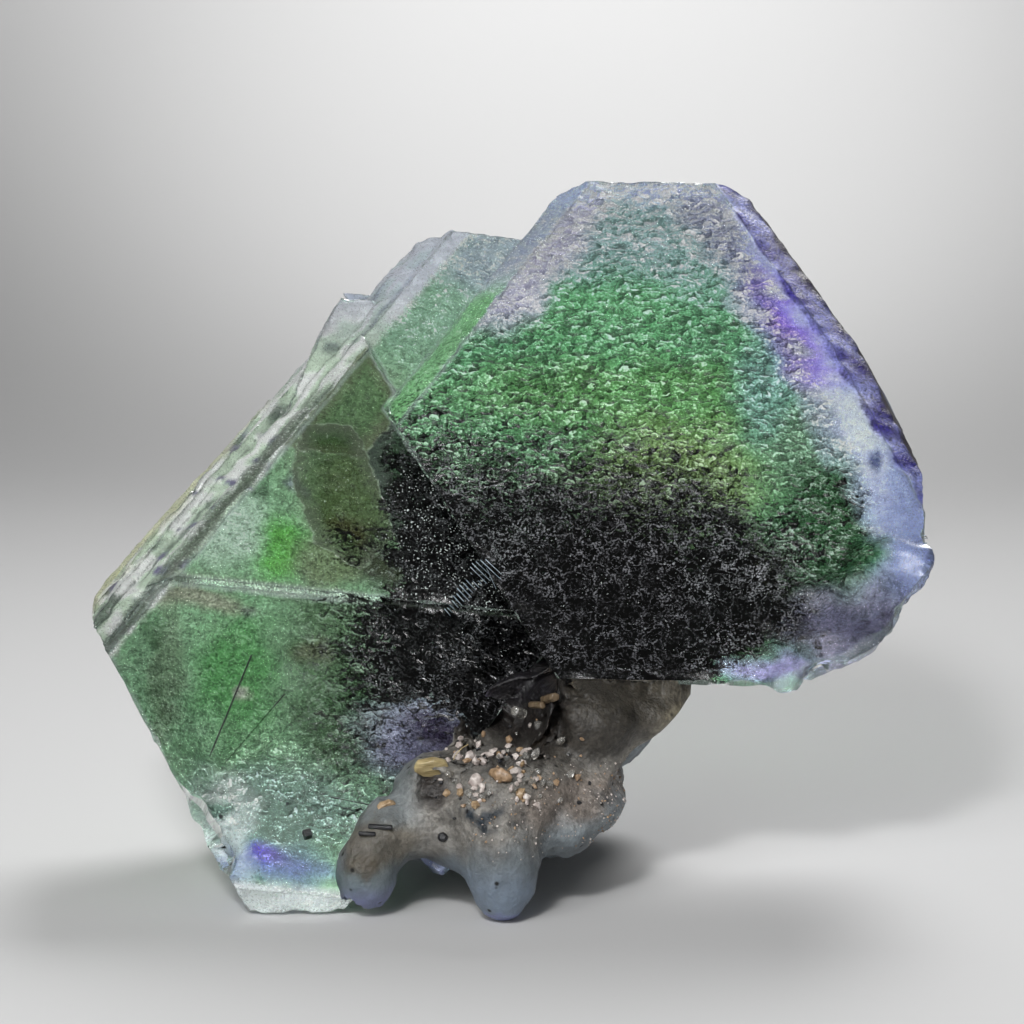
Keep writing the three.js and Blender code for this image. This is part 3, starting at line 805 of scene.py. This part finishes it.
# painted glints: a few grains are painted as pale sparks 0.1 mm wide, as if turned just right to the light
limit = node(tree, "MapRange", {0: glitter_share, 3: 0.80, 4: 0.60})
spark = node(tree, "Math", {0: folds, 1: 0.7, 2: grit}, operation="MULTIPLY_ADD")
spark = node(tree, "Math", {0: spark, 1: limit}, operation="SUBTRACT")
spark = node(tree, "MapRange", {0: spark, 1: 0.47, 2: 0.51, 3: 0.0, 4: 0.75})
sparked = node(tree, "Mix", {0: spark, 6: darkened, 7: linear("e6f0ee")}, data_type="RGBA")
# grey lacework: the borders of warped cells 1.2 mm wide, with finer curls between them
twisted = node(tree, "VectorMath", {0: sway, 1: (1.8, 1.8, 0), 2: place}, operation="MULTIPLY_ADD")
web = node(tree, "TexVoronoi", {"Vector": twisted, "Scale": 0.85}, voronoi_dimensions="2D",
           feature="DISTANCE_TO_EDGE")
web = node(tree, "Math", {0: fine, 1: 0.4, 2: web}, operation="MULTIPLY_ADD")
web = node(tree, "MapRange", {0: web, 1: 0.21, 2: 0.31, 3: 1.0, 4: 0.0})
curl = node(tree, "MapRange", {0: fold_line, 1: 0.004, 2: 0.022, 3: 0.75, 4: 0.0})
line = node(tree, "Math", {0: web, 1: curl}, operation="MAXIMUM")
line = node(tree, "Math", {0: line, 1: lace_share}, operation="MULTIPLY")
worn_away = node(tree, "MapRange", {0: grit, 1: 0.38, 2: 0.62})
line = node(tree, "Math", {0: line, 1: worn_away}, operation="MULTIPLY")
laced = node(tree, "Mix", {0: line, 6: sparked, 7: linear("a2a3a9")}, data_type="RGBA")

# %% Fluorite material: edges
# a thin dark groove runs along every edge, with a pale band beside it
bare = node(tree, "Math", {0: dark_here, 1: frost_share}, operation="MAXIMUM")
bare = node(tree, "Math", {0: bare, 1: clouded}, operation="MAXIMUM")
bare = node(tree, "Math", {0: 1.0, 1: bare}, operation="SUBTRACT")
pale_edge = node(tree, "MapRange", {0: edge_far, 1: 0.10, 2: 0.32, 3: 0.4, 4: 0.0})
pale_edge = node(tree, "Math", {0: pale_edge, 1: bare}, operation="MULTIPLY")
edged = node(tree, "Mix", {0: pale_edge, 6: laced, 7: linear("c8d8d8")}, data_type="RGBA")
groove = node(tree, "MapRange", {0: edge_far, 1: 0.04, 2: 0.11, 3: 0.7, 4: 0.0})
broken_up = node(tree, "MapRange", {0: fine, 1: 0.4, 2: 0.6})
groove = node(tree, "Math", {0: groove, 1: broken_up}, operation="MULTIPLY")
edged = node(tree, "Mix", {0: groove, 6: edged, 7: linear("20261f")}, data_type="RGBA")
tree.links.new(edged.outputs[2], shader.inputs["Base Color"])

# %% Fluorite material: surface
bump = node(tree, "Bump", {"Height": height, "Strength": 1.0, "Distance": 0.15 * MM})
tree.links.new(bump.outputs[0], shader.inputs["Normal"])
# dark, laced, clouded and frosted places let less light through
closed = node(tree, "Math", {0: dark_here, 1: 0.7}, operation="MULTIPLY")
closed = node(tree, "Math", {0: closed, 1: line}, operation="MAXIMUM")
closed = node(tree, "Math", {0: closed, 1: clouded}, operation="MAXIMUM")
frosted = node(tree, "Math", {0: top, 1: 0.5}, operation="MULTIPLY")
frosted = node(tree, "Math", {0: frost_share, 1: 0.32, 2: frosted}, operation="MULTIPLY_ADD")
closed = node(tree, "Math", {0: closed, 1: frosted}, operation="MAXIMUM")
clear = node(tree, "MapRange", {0: closed, 1: 0.0, 2: 1.0, 3: 0.82, 4: 0.08})
tree.links.new(clear.outputs[0], shader.inputs["Transmission Weight"])
rough = node(tree, "MapRange", {0: fine, 1: 0.3, 2: 0.7, 3: 0.08, 4: 0.24})
rough = node(tree, "Math", {0: frost_share, 1: 0.15, 2: rough}, operation="MULTIPLY_ADD")
rough = node(tree, "Math", {0: clouded, 1: 0.3, 2: rough}, operation="MULTIPLY_ADD")
tree.links.new(rough.outputs[0], shader.inputs["Roughness"])
shader.inputs["IOR"].default_value = 1.434
print("the fluorite material has", len(tree.nodes), "nodes")
crystal_mesh.materials.clear()
crystal_mesh.materials.append(fluorite_look)
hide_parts("fluorite_crystals")
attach(fluorite, "root")

# %% [markdown]
# ## The crust's shape
# The crust is a milky, knobbly mass that grew as rounded drops which ran together. The
# measured solid has the drops as separate swellings with seats cut for the grains. A copy is
# swollen, remeshed and shrunk back, which fills the creases as a skin of later growth does,
# and where it meets the crystals it is drawn against them, so that no air shows between.

# %% Crust mesh
SKIN = 0.40 * MM
VOXEL = 0.3 * MM
REST_LEVEL = 0.35
CONTACT_GAP, CONTACT_DEPTH = 0.75, 0.12
solid = copy_of("matrix")
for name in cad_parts:
    if name not in ("matrix", "fluorite_crystals", "fluorite_tip"):
        corner_low, corner_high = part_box(name)
        seat = bmesh.ops.create_icosphere(solid, subdivisions=2, radius=1.0)["verts"]
        size = (corner_high - corner_low) / 2 + Vector((0.30, 0.10, 0.25)) * MM
        bmesh.ops.scale(solid, verts=seat, vec=size)
        seat_middle = (corner_low + corner_high) / 2 + Vector((0, 0.45, -0.15)) * MM
        bmesh.ops.translate(solid, verts=seat, vec=seat_middle)
crust = mesh_object("crust", solid)


def remesh(thing, voxel):
    """Rebuilds the surface from cubes `voxel` metres wide."""
    step = thing.modifiers.new("remesh", "REMESH")
    step.mode = "VOXEL"
    step.voxel_size = voxel


def swell(thing, distance):
    """Moves the surface out by `distance` metres."""
    step = thing.modifiers.new("swell", "DISPLACE")
    step.strength = distance
    step.mid_level = 0


remesh(crust, VOXEL)
swell(crust, SKIN)
remesh(crust, VOXEL)
swell(crust, -SKIN)
ease = crust.modifiers.new("ease", "SMOOTH")
ease.factor = 0.6
ease.iterations = 10
crust_mesh = finished(crust)

solid = copy_of("fluorite_crystals")
crystals_tree = BVHTree.FromBMesh(solid)
solid.free()
spots = points_of(crust_mesh)
outward = normals_of(crust_mesh)
millimetres = spots / MM
bulge = 0.22 * noise_at(millimetres, 2.6, 60.0) + 0.12 * noise_at(millimetres, 0.9, 61.0)
bulge += 0.06 * noise_at(millimetres, 0.45, 62.0)
pits = np.minimum(cells_at(millimetres, 1.1, 63.0)[:, 0], 0.5) - 0.35
bulge += 0.18 * pits * soft(millimetres[:, 2], 3.5, 6)
bulge = np.where(millimetres[:, 2] < REST_LEVEL, 0, bulge)
spots = spots + outward * (bulge * MM)[:, None]
# the slope under the right crystal is flatter than the solid
x, y, z = (spots / MM).T
slope = 7.2 + (z - 8) * 1.15
over = np.maximum(x - slope, 0) * soft(z, 5.4, 7.4)
spots[:, 0] = (x - 0.7 * over) * MM
# the hollow, with a ragged edge
ragged = 1.3 * noise_at(millimetres, 1.4, 64.0) + 0.8 * noise_at(millimetres, 0.5, 65.0)
in_front = 1 - soft(y, -11, -8)
for across_at, up_at, wide, tall, deep in ((0.2, 11.0, 3.6, 3.2, 2.4), (-3.5, 6.8, 1.1, 0.9, 0.8),
                                           (-1.2, 8.6, 1.8, 0.9, 0.9), (3.2, 8.2, 1.2, 0.7, 0.5)):
    far = np.hypot((x - across_at) / wide, (z - up_at) / tall) + 0.35 * ragged
    spots[:, 1] += deep * MM * (1 - soft(far, 0.75, 1.05)) * in_front
for at, spot in enumerate(spots):
    touch, normal, _, gap = crystals_tree.find_nearest(Vector(spot))
    if gap < CONTACT_GAP * MM:
        spots[at] = touch - normal * CONTACT_DEPTH * MM
spots[:, 2] = np.maximum(spots[:, 2], 0)
crust_mesh.vertices.foreach_set("co", spots.ravel())
crust_mesh.update()
crust_mesh.shade_smooth()
print("crust has", len(crust_mesh.polygons), "faces")

# %% [markdown]
# ## Colours of the crust
# Opal-like crust is white to grey where it is thick, stained brown by iron near the
# crystals, and almost clear and bluish in the youngest drops at the bottom.

# %% Zones of the crust
x, y, z = (spots / MM).T
stone = spots / MM
blur = noise_at(stone, 1.6, 70.0)
dapple = noise_at(stone, 0.6, 71.0)
front_half = 1 - soft(y, -6, -2)


def spot_on(middle, size):
    """A soft oval on the crust's front, in mm across and up."""
    far = np.hypot((x - middle[0] + 0.5 * blur) / size[0], (z - middle[1] + 0.4 * dapple) / size[1])
    return (1 - soft(far, 0.55, 1.2)) * front_half


crust_paint = plain("88857f", len(stone))
for code, share in (
    # the upper crust is darker: partly a brown iron stain, partly painted shade under the crystals
    ("645f54", soft(z + 1.5 * blur, 7.5, 10.5)),
    # painted shadow under the right crystal's bottom edge (this line and the next)
    ("332f28", spot_on((5.0, 10.8), (4.6, 2.8)) * 0.9),
    ("45413b", spot_on((4.2, 9.0), (3.4, 1.4)) * 0.8),
    ("8f8874", soft(x - 1.15 * (z - 8) + 0.6 * blur, 6.3, 7.6) * soft(z, 7, 9)),
    ("968b82", spot_on((4.0, 6.0), (3.4, 1.5)) * 0.8),
    ("939da3", 1 - soft(z + 1.2 * blur - 0.25 * x, 2.6, 5.2)),
    ("a6b6c8", 1 - soft(z + 0.5 * blur, 1.6, 3.6)),
    ("94a0a6", soft(-x, 3.5, 5.5) * 0.6),
    ("7d766a", spot_on((-6.4, 4.2), (2.6, 1.3)) * 0.9),
    ("6c5f4c", spot_on((-7.0, 3.0), (1.2, 0.7)) * 0.8),
    ("a9aee0", (1 - soft(z + 0.4 * blur, 0.9, 2.2)) * soft(-x, 4.0, 6.0) * 0.8),
    ("1c2832", spot_on((-0.7, 5.9), (2.0, 0.75)) * soft(dapple, -0.10, 0.12)),
    # painted shade in the two hollows (these three lines)
    ("24201d", spot_on((0.4, 9.5), (3.9, 1.8))),
    ("151317", spot_on((0.6, 11.2), (3.6, 1.7))),
    ("2e2824", spot_on((-3.5, 6.8), (1.1, 0.9))),
    ("3a3052", spot_on((-3.6, 10.6), (2.8, 1.2)) * 0.8),
    ("b4bcec", spot_on((0.3, 0.0), (2.2, 0.7))),
):
    crust_paint = lay(crust_paint, code, share)
milk = np.maximum(1 - soft(z + 0.8 * blur, 2.5, 5.5), 0.7 * soft(-x, 3.5, 6.5))
keep(crust_mesh, "zone colour", "FLOAT_COLOR", np.c_[np.clip(crust_paint, 0, 1), np.ones(len(stone))])
keep(crust_mesh, "milk", "FLOAT", milk)
print("crust mean colour", np.round(crust_paint.mean(0), 3))

# %% Crust material
crust_look, tree, shader = new_material("milky opal crust")
place = node(tree, "TexCoord").outputs["Object"]
zone = node(tree, "Attribute", attribute_name="zone colour").outputs["Color"]
milk_share = node(tree, "Attribute", attribute_name="milk").outputs["Fac"]
# clouds 1.1 mm wide, grit 0.24 mm wide, black specks 0.77 mm apart and sand in 0.19 mm grains
cloud = node(tree, "TexNoise", {"Vector": place, "Scale": 1 / (1.1 * MM), "Detail": 6.0,
                                "Roughness": 0.65})
grit = node(tree, "TexNoise", {"Vector": place, "Scale": 1 / (0.24 * MM), "Detail": 3.0})
lighter = node(tree, "MapRange", {0: cloud, 1: 0.3, 2: 0.7, 3: 0.36, 4: 1.2})
calm = node(tree, "Math", {0: milk_share, 1: 0.4}, operation="MULTIPLY")
lighter = node(tree, "Mix", {0: calm, 2: lighter, 3: 0.95}, data_type="FLOAT")
clouded = node(tree, "VectorMath", {0: zone, "Scale": lighter}, operation="SCALE")
speck = node(tree, "TexVoronoi", {"Vector": place, "Scale": 1 / (0.77 * MM)})
speck_near = node(tree, "MapRange", {0: speck, 1: 0.10, 2: 0.22, 3: 1.0, 4: 0.0})
speck_some = node(tree, "SeparateColor", {0: speck.outputs["Color"]}).outputs["Green"]
speck_some = node(tree, "Math", {0: speck_some, 1: 0.72}, operation="GREATER_THAN")
speck_here = node(tree, "Math", {0: speck_near, 1: speck_some}, operation="MULTIPLY")
specked = node(tree, "Mix", {0: speck_here, 6: clouded, 7: linear("1d1c1b")}, data_type="RGBA")
sand = node(tree, "TexVoronoi", {"Vector": place, "Scale": 1 / (0.19 * MM)}).outputs["Color"]
sand_luck = node(tree, "SeparateColor", {0: sand})
sand_light = node(tree, "MapRange", {0: sand_luck, 3: 0.72, 4: 1.3})
sand_light = node(tree, "Mix", {0: milk_share, 2: sand_light, 3: 1.0}, data_type="FLOAT")
sanded = node(tree, "VectorMath", {0: specked, "Scale": sand_light}, operation="SCALE")
tree.links.new(sanded.outputs[0], shader.inputs["Base Color"])
height = node(tree, "Math", {0: cloud, 1: 0.6, 2: grit}, operation="MULTIPLY_ADD")
bump = node(tree, "Bump", {"Height": height, "Strength": 0.8, "Distance": 0.15 * MM})
tree.links.new(bump.outputs[0], shader.inputs["Normal"])
rough = node(tree, "MapRange", {0: grit, 3: 0.35, 4: 0.7})
tree.links.new(rough.outputs[0], shader.inputs["Roughness"])
clear = node(tree, "Math", {0: milk_share, 1: 0.5, 2: 0.08}, operation="MULTIPLY_ADD")
tree.links.new(clear.outputs[0], shader.inputs["Transmission Weight"])
shader.inputs["IOR"].default_value = 1.45
shader.inputs["Subsurface Weight"].default_value = 0.5
shader.inputs["Subsurface Radius"].default_value = (1.0, 0.9, 0.8)
shader.inputs["Subsurface Scale"].default_value = 1.2 * MM
crust_mesh.materials.clear()
crust_mesh.materials.append(crust_look)
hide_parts("matrix")
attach(crust, "root")

# %% [markdown]
# ## Finishes of the small grains
# Each grain is a mineral of its own. Their colour comes from iron more often than not:
# rust turns mica golden, siderite orange and the small columns brown.

# %% Materials of the small grains
def mineral(name, light, dark, cell, roughness, ior, clear, stretch=(1, 1, 1)):
    """A grain's finish: two tones in clouds `cell` mm wide, and a bump in the same pattern."""
    look, tree, shader = new_material(name)
    place = node(tree, "TexCoord").outputs["Object"]
    place = node(tree, "VectorMath", {0: place, 1: stretch}, operation="MULTIPLY")
    cloud = node(tree, "TexNoise", {"Vector": place, "Scale": 1 / (cell * MM), "Detail": 5.0,
                                    "Roughness": 0.6})
    share = node(tree, "MapRange", {0: cloud, 1: 0.35, 2: 0.65})
    tone = node(tree, "Mix", {0: share, 6: linear(dark), 7: linear(light)}, data_type="RGBA")
    tree.links.new(tone.outputs[2], shader.inputs["Base Color"])
    bump = node(tree, "Bump", {"Height": cloud, "Strength": 0.7, "Distance": 0.12 * MM})
    tree.links.new(bump.outputs[0], shader.inputs["Normal"])
    shader.inputs["Roughness"].default_value = roughness
    shader.inputs["IOR"].default_value = ior
    shader.inputs["Transmission Weight"].default_value = clear
    return look


mica_look = mineral("muscovite mica, iron stained", "e6d3a0", "a08a5a", 0.35, 0.28, 1.58, 0.35,
                    (0.25, 1, 1.6))
feldspar_look = mineral("feldspar, cleaved", "e4dbd4", "a89a94", 0.40, 0.40, 1.53, 0.15)
siderite_look = mineral("siderite, rusty", "b99a7a", "7f6547", 0.30, 0.45, 1.75, 0.10)
flake_look = mineral("siderite flake, rusty", "c7ab86", "8a6c48", 0.25, 0.40, 1.75, 0.20)
column_look = mineral("iron-stained quartz columns", "94826a", "54422e", 0.30, 0.30, 1.545, 0.30,
                      (1, 1, 0.3))
quartz_look = mineral("clear quartz", "f4f4f0", "cfcac0", 0.50, 0.10, 1.545, 0.85)
black_look = mineral("black tourmaline", "14171d", "05060a", 0.15, 0.38, 1.63, 0.0, (0.2, 1, 1))
ridge_look = mineral("pale growth ridges", "c6d6e2", "7f95a6", 0.30, 0.30, 1.434, 0.20)
tip_look = mineral("clear fluorite tip", "dfe8ff", "a9b8ea", 0.60, 0.12, 1.434, 0.80)

# %% [markdown]
# ## Grains that take the place of the plain solids
# The solids give each grain's place and size. Every grain is a rounded, chipped and cut
# version of its solid: the edges are bevelled, the faces cut fine and pushed by noise.

# %% Grains from the solids
GRAINS = {
    "mica_flake": (mica_look, "mica", 0.05, 0.05, 0.35),
    "feldspar_grain": (feldspar_look, "feldspar", 0.06, 0.08, 0.35),
    "siderite_grain": (siderite_look, "siderite", 0.10, 0.14, 0.40),
    "siderite_flake": (flake_look, "siderite", 0.05, 0.07, 0.40),
    "brown_column_1": (column_look, "brown_column", 0.04, 0.04, 0.40),
    "brown_column_2": (column_look, "brown_column", 0.04, 0.04, 0.40),
    "quartz_grain": (quartz_look, "quartz", 0.06, 0.06, 0.50),
    "tourmaline_rod_1": (black_look, "tourmaline", 0.03, 0.02, 0.40),
    "tourmaline_rod_2": (black_look, "tourmaline", 0.03, 0.02, 0.40),
    "tourmaline_grain": (black_look, "tourmaline", 0.03, 0.02, 0.40),
    "fluorite_tip": (tip_look, "fluorite", 0.10, 0.06, 0.60),
}


def roughened(solid, bevel, amount, cell, seed):
    """Bevels a small solid's edges, cuts its faces fine and pushes them about by noise, in mm."""
    keen = [e for e in solid.edges if e.is_manifold and e.calc_face_angle() > SHARP_EDGE]
    bmesh.ops.bevel(solid, geom=keen, offset=bevel * MM, segments=2, profile=0.5, affect="EDGES",
                    material=-1, clamp_overlap=True)
    bmesh.ops.triangulate(solid, faces=solid.faces[:])
    bmesh.ops.subdivide_edges(solid, edges=[e for e in solid.edges if e.calc_length() > 0.25 * MM], cuts=2,
                              use_grid_fill=True)
    bmesh.ops.triangulate(solid, faces=solid.faces[:])
    solid.normal_update()
    for vert in solid.verts:
        push = noise.noise(vert.co / (cell * MM) + Vector((seed, seed, seed)))
        vert.co += vert.normal * push * amount * MM
    return solid


for number, (name, (look, slot, bevel, amount, cell)) in enumerate(GRAINS.items()):
    piece = mesh_object(name + "_detailed", roughened(copy_of(name), bevel, amount, cell, 3.7 * number))
    piece.data.shade_smooth()
    piece.data.set_sharp_from_angle(angle=math.radians(28))
    piece.data.materials.clear()
    piece.data.materials.append(look)
    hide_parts(name)
    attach(piece, "root")
    print(name, len(piece.data.polygons), "faces")

# %% [markdown]
# ## Crumbs in the hollow
# Fine grains lie in the hollow of the crust, along the lip of the hollow and as dust on the
# lobe in front of it. They are mesh only, far too small to be parts: angular crumbs, each a
# rough ball of twenty faces.

# %% Crumbs
lucky = random.Random(41)
crust_points = points_of(crust_mesh)
crust_normals = normals_of(crust_mesh)


def places_on_crust(count, low_corner, high_corner):
    """Picks points on the front of the crust in a box given in mm."""
    inside = np.all((crust_points / MM > low_corner) & (crust_points / MM < high_corner), 1)
    found = np.nonzero(inside & (crust_normals[:, 1] < 0.1))[0]
    return [int(found[lucky.randrange(len(found))]) for _ in range(count)]


def scatter(name, look, places, smallest, largest):
    """Sets small angular crumbs on the crust, as one piece. Sizes in mm."""
    solid = bmesh.new()
    for at in places:
        size = lucky.uniform(smallest, largest) * MM
        crumb = bmesh.ops.create_icosphere(solid, subdivisions=1, radius=size)["verts"]
        squash = Vector([lucky.uniform(0.55, 1.15) for _ in range(3)])
        bmesh.ops.scale(solid, verts=crumb, vec=squash)
        for vert in crumb:
            vert.co *= lucky.uniform(0.6, 1.2)
        angle = lucky.uniform(0, 2 * math.pi)
        axis = Vector([lucky.uniform(-1, 1) for _ in range(3)]).normalized()
        bmesh.ops.rotate(solid, verts=crumb, cent=(0, 0, 0), matrix=Matrix.Rotation(angle, 3, axis))
        seat = Vector(crust_points[at]) + Vector(crust_normals[at]) * size * 0.3
        bmesh.ops.translate(solid, verts=crumb, vec=seat)
    piece = mesh_object(name, solid)
    piece.data.materials.append(look)
    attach(piece, "root")
    print(name, len(piece.data.polygons), "faces")


HOLLOW = ((-3.2, -25, 6.2), (4.5, -8, 9.4))
FRONT = ((-3.5, -25, 5.0), (6.5, -8, 10.5))
LIP = ((-3.0, -25, 6.4), (1.6, -8, 8.5))
LOBE = ((-1.5, -25, 3.5), (8.5, -8, 7.8))
scatter("white_crumbs", feldspar_look, places_on_crust(40, *HOLLOW), 0.07, 0.24)
scatter("rusty_crumbs", siderite_look, places_on_crust(26, *HOLLOW), 0.07, 0.26)
scatter("glassy_crumbs", quartz_look, places_on_crust(40, *HOLLOW), 0.10, 0.34)
scatter("black_crumbs", black_look, places_on_crust(22, *FRONT), 0.07, 0.18)
scatter("white_dust", feldspar_look, places_on_crust(240, *LOBE), 0.03, 0.08)
scatter("rusty_dust", siderite_look, places_on_crust(110, *LOBE), 0.03, 0.09)
scatter("pale_lip_crumbs", feldspar_look, places_on_crust(34, *LIP), 0.14, 0.40)
scatter("golden_lip_crumbs", flake_look, places_on_crust(16, *LIP), 0.10, 0.30)

# %% [markdown]
# ## Needles, fibre and ridges
# Thin things are drawn as six-sided rods: black needles sealed in the clear green part of
# the left crystal and two more on its surface, a golden fibre in front of the hollow, and the
# comb of short pale ridges. Three tiny black cubes go with the needles.

# %% Thin rods
def rod(solid, start, end, thick, taper=1.0):
    """Adds a six-sided rod from `start` to `end`, `thick` mm across. Places in metres."""
    along = end - start
    made = bmesh.ops.create_cone(solid, cap_ends=True, segments=6, radius1=thick / 2 * MM,
                                 radius2=thick / 2 * taper * MM, depth=along.length)["verts"]
    turn = along.to_track_quat("Z", "Y").to_matrix()
    bmesh.ops.rotate(solid, verts=made, cent=(0, 0, 0), matrix=turn)
    bmesh.ops.translate(solid, verts=made, vec=(start + end) / 2)


def on_left(u, v, w):
    """The place u, v, w along the left crystal's axes, in mm."""
    return LEFT_AXES @ Vector((u * MM, v * MM, w * MM))


def on_front(x, z, proud):
    """The place `proud` mm in front of the crystals at x, z, both in mm."""
    hit = crystals_tree.ray_cast(Vector((x, -60, z)) * MM, Vector((0, 1, 0)))[0]
    return hit - Vector((0, proud * MM, 0))


def on_left_face(u, v, proud):
    """The place `proud` mm over the left crystal's front face."""
    down = -(LEFT_AXES.to_3x3() @ Vector((0, 0, 1)))
    hit = crystals_tree.ray_cast(on_left(u, v, 8), down)[0]
    return hit - down * proud * MM


needles = bmesh.new()
for start, end, depth, thick in (((-1.7, -6.3), (-3.5, -12.9), -0.3, 0.09),
                                 ((0.3, -8.5), (-2.6, -13.1), -0.4, 0.07),
                                 ((1.4, -9.4), (-1.2, -12.6), -0.7, 0.06)):
    rod(needles, on_left(*start, depth), on_left(*end, depth - 0.2), thick)
for start, end in (((-9.3, 5.75), (-6.6, 5.2)), ((-9.0, 5.35), (-6.9, 4.75))):
    rod(needles, on_front(*start, -0.02), on_front(*end, 0.03), 0.06)
for u, v, size in ((2.1, -17.2, 0.42), (-2.6, -16.6, 0.16), (0.9, -15.4, 0.12)):
    cube = bmesh.ops.create_cube(needles, size=size * MM)["verts"]
    turn = LEFT_AXES.to_3x3() @ Matrix.Rotation(0.4, 3, "Z")
    bmesh.ops.rotate(needles, verts=cube, cent=(0, 0, 0), matrix=turn)
    bmesh.ops.translate(needles, verts=cube, vec=on_left_face(u, v, 0.3 * size))
RIDGES = 19
ridges = bmesh.new()
for step in range(RIDGES):
    share = step / (RIDGES - 1)
    before = Vector((-2.95 + 2.6 * share, -60, 14.4 + 2.8 * share)) * MM
    hit, facing_out, _, _ = crystals_tree.ray_cast(before, Vector((0, 1, 0)))
    reach = Vector((0.68 + 0.08 * share, 0, -0.72 + 0.1 * share)) * MM
    reach *= (0.25 + 0.5 * share) * lucky.uniform(0.7, 1.15)
    reach.y = -(reach.x * facing_out.x + reach.z * facing_out.z) / facing_out.y
    start, end = hit - reach + facing_out * 0.05 * MM, hit + reach + facing_out * 0.05 * MM
    rod(ridges, start, end, lucky.uniform(0.04, 0.08), 0.4)
fibre = bmesh.new()
path = [Vector((-1.65, -18.3, 9.6)), Vector((-1.95, -18.4, 9.45)), Vector((-2.2, -18.4, 9.2)),
        Vector((-2.38, -18.3, 8.95)), Vector((-2.42, -18.2, 8.75))]
for start, end in zip(path, path[1:]):
    rod(fibre, start * MM, end * MM, 0.05)
for name, solid, look, slot in (("sealed_needles", needles, black_look, "tourmaline"),
                                ("comb_of_growth_ridges", ridges, ridge_look, "fluorite"),
                                ("golden_fibre", fibre, mica_look, "mica")):
    piece = mesh_object(name, solid)
    piece.data.materials.append(look)
    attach(piece, "root")
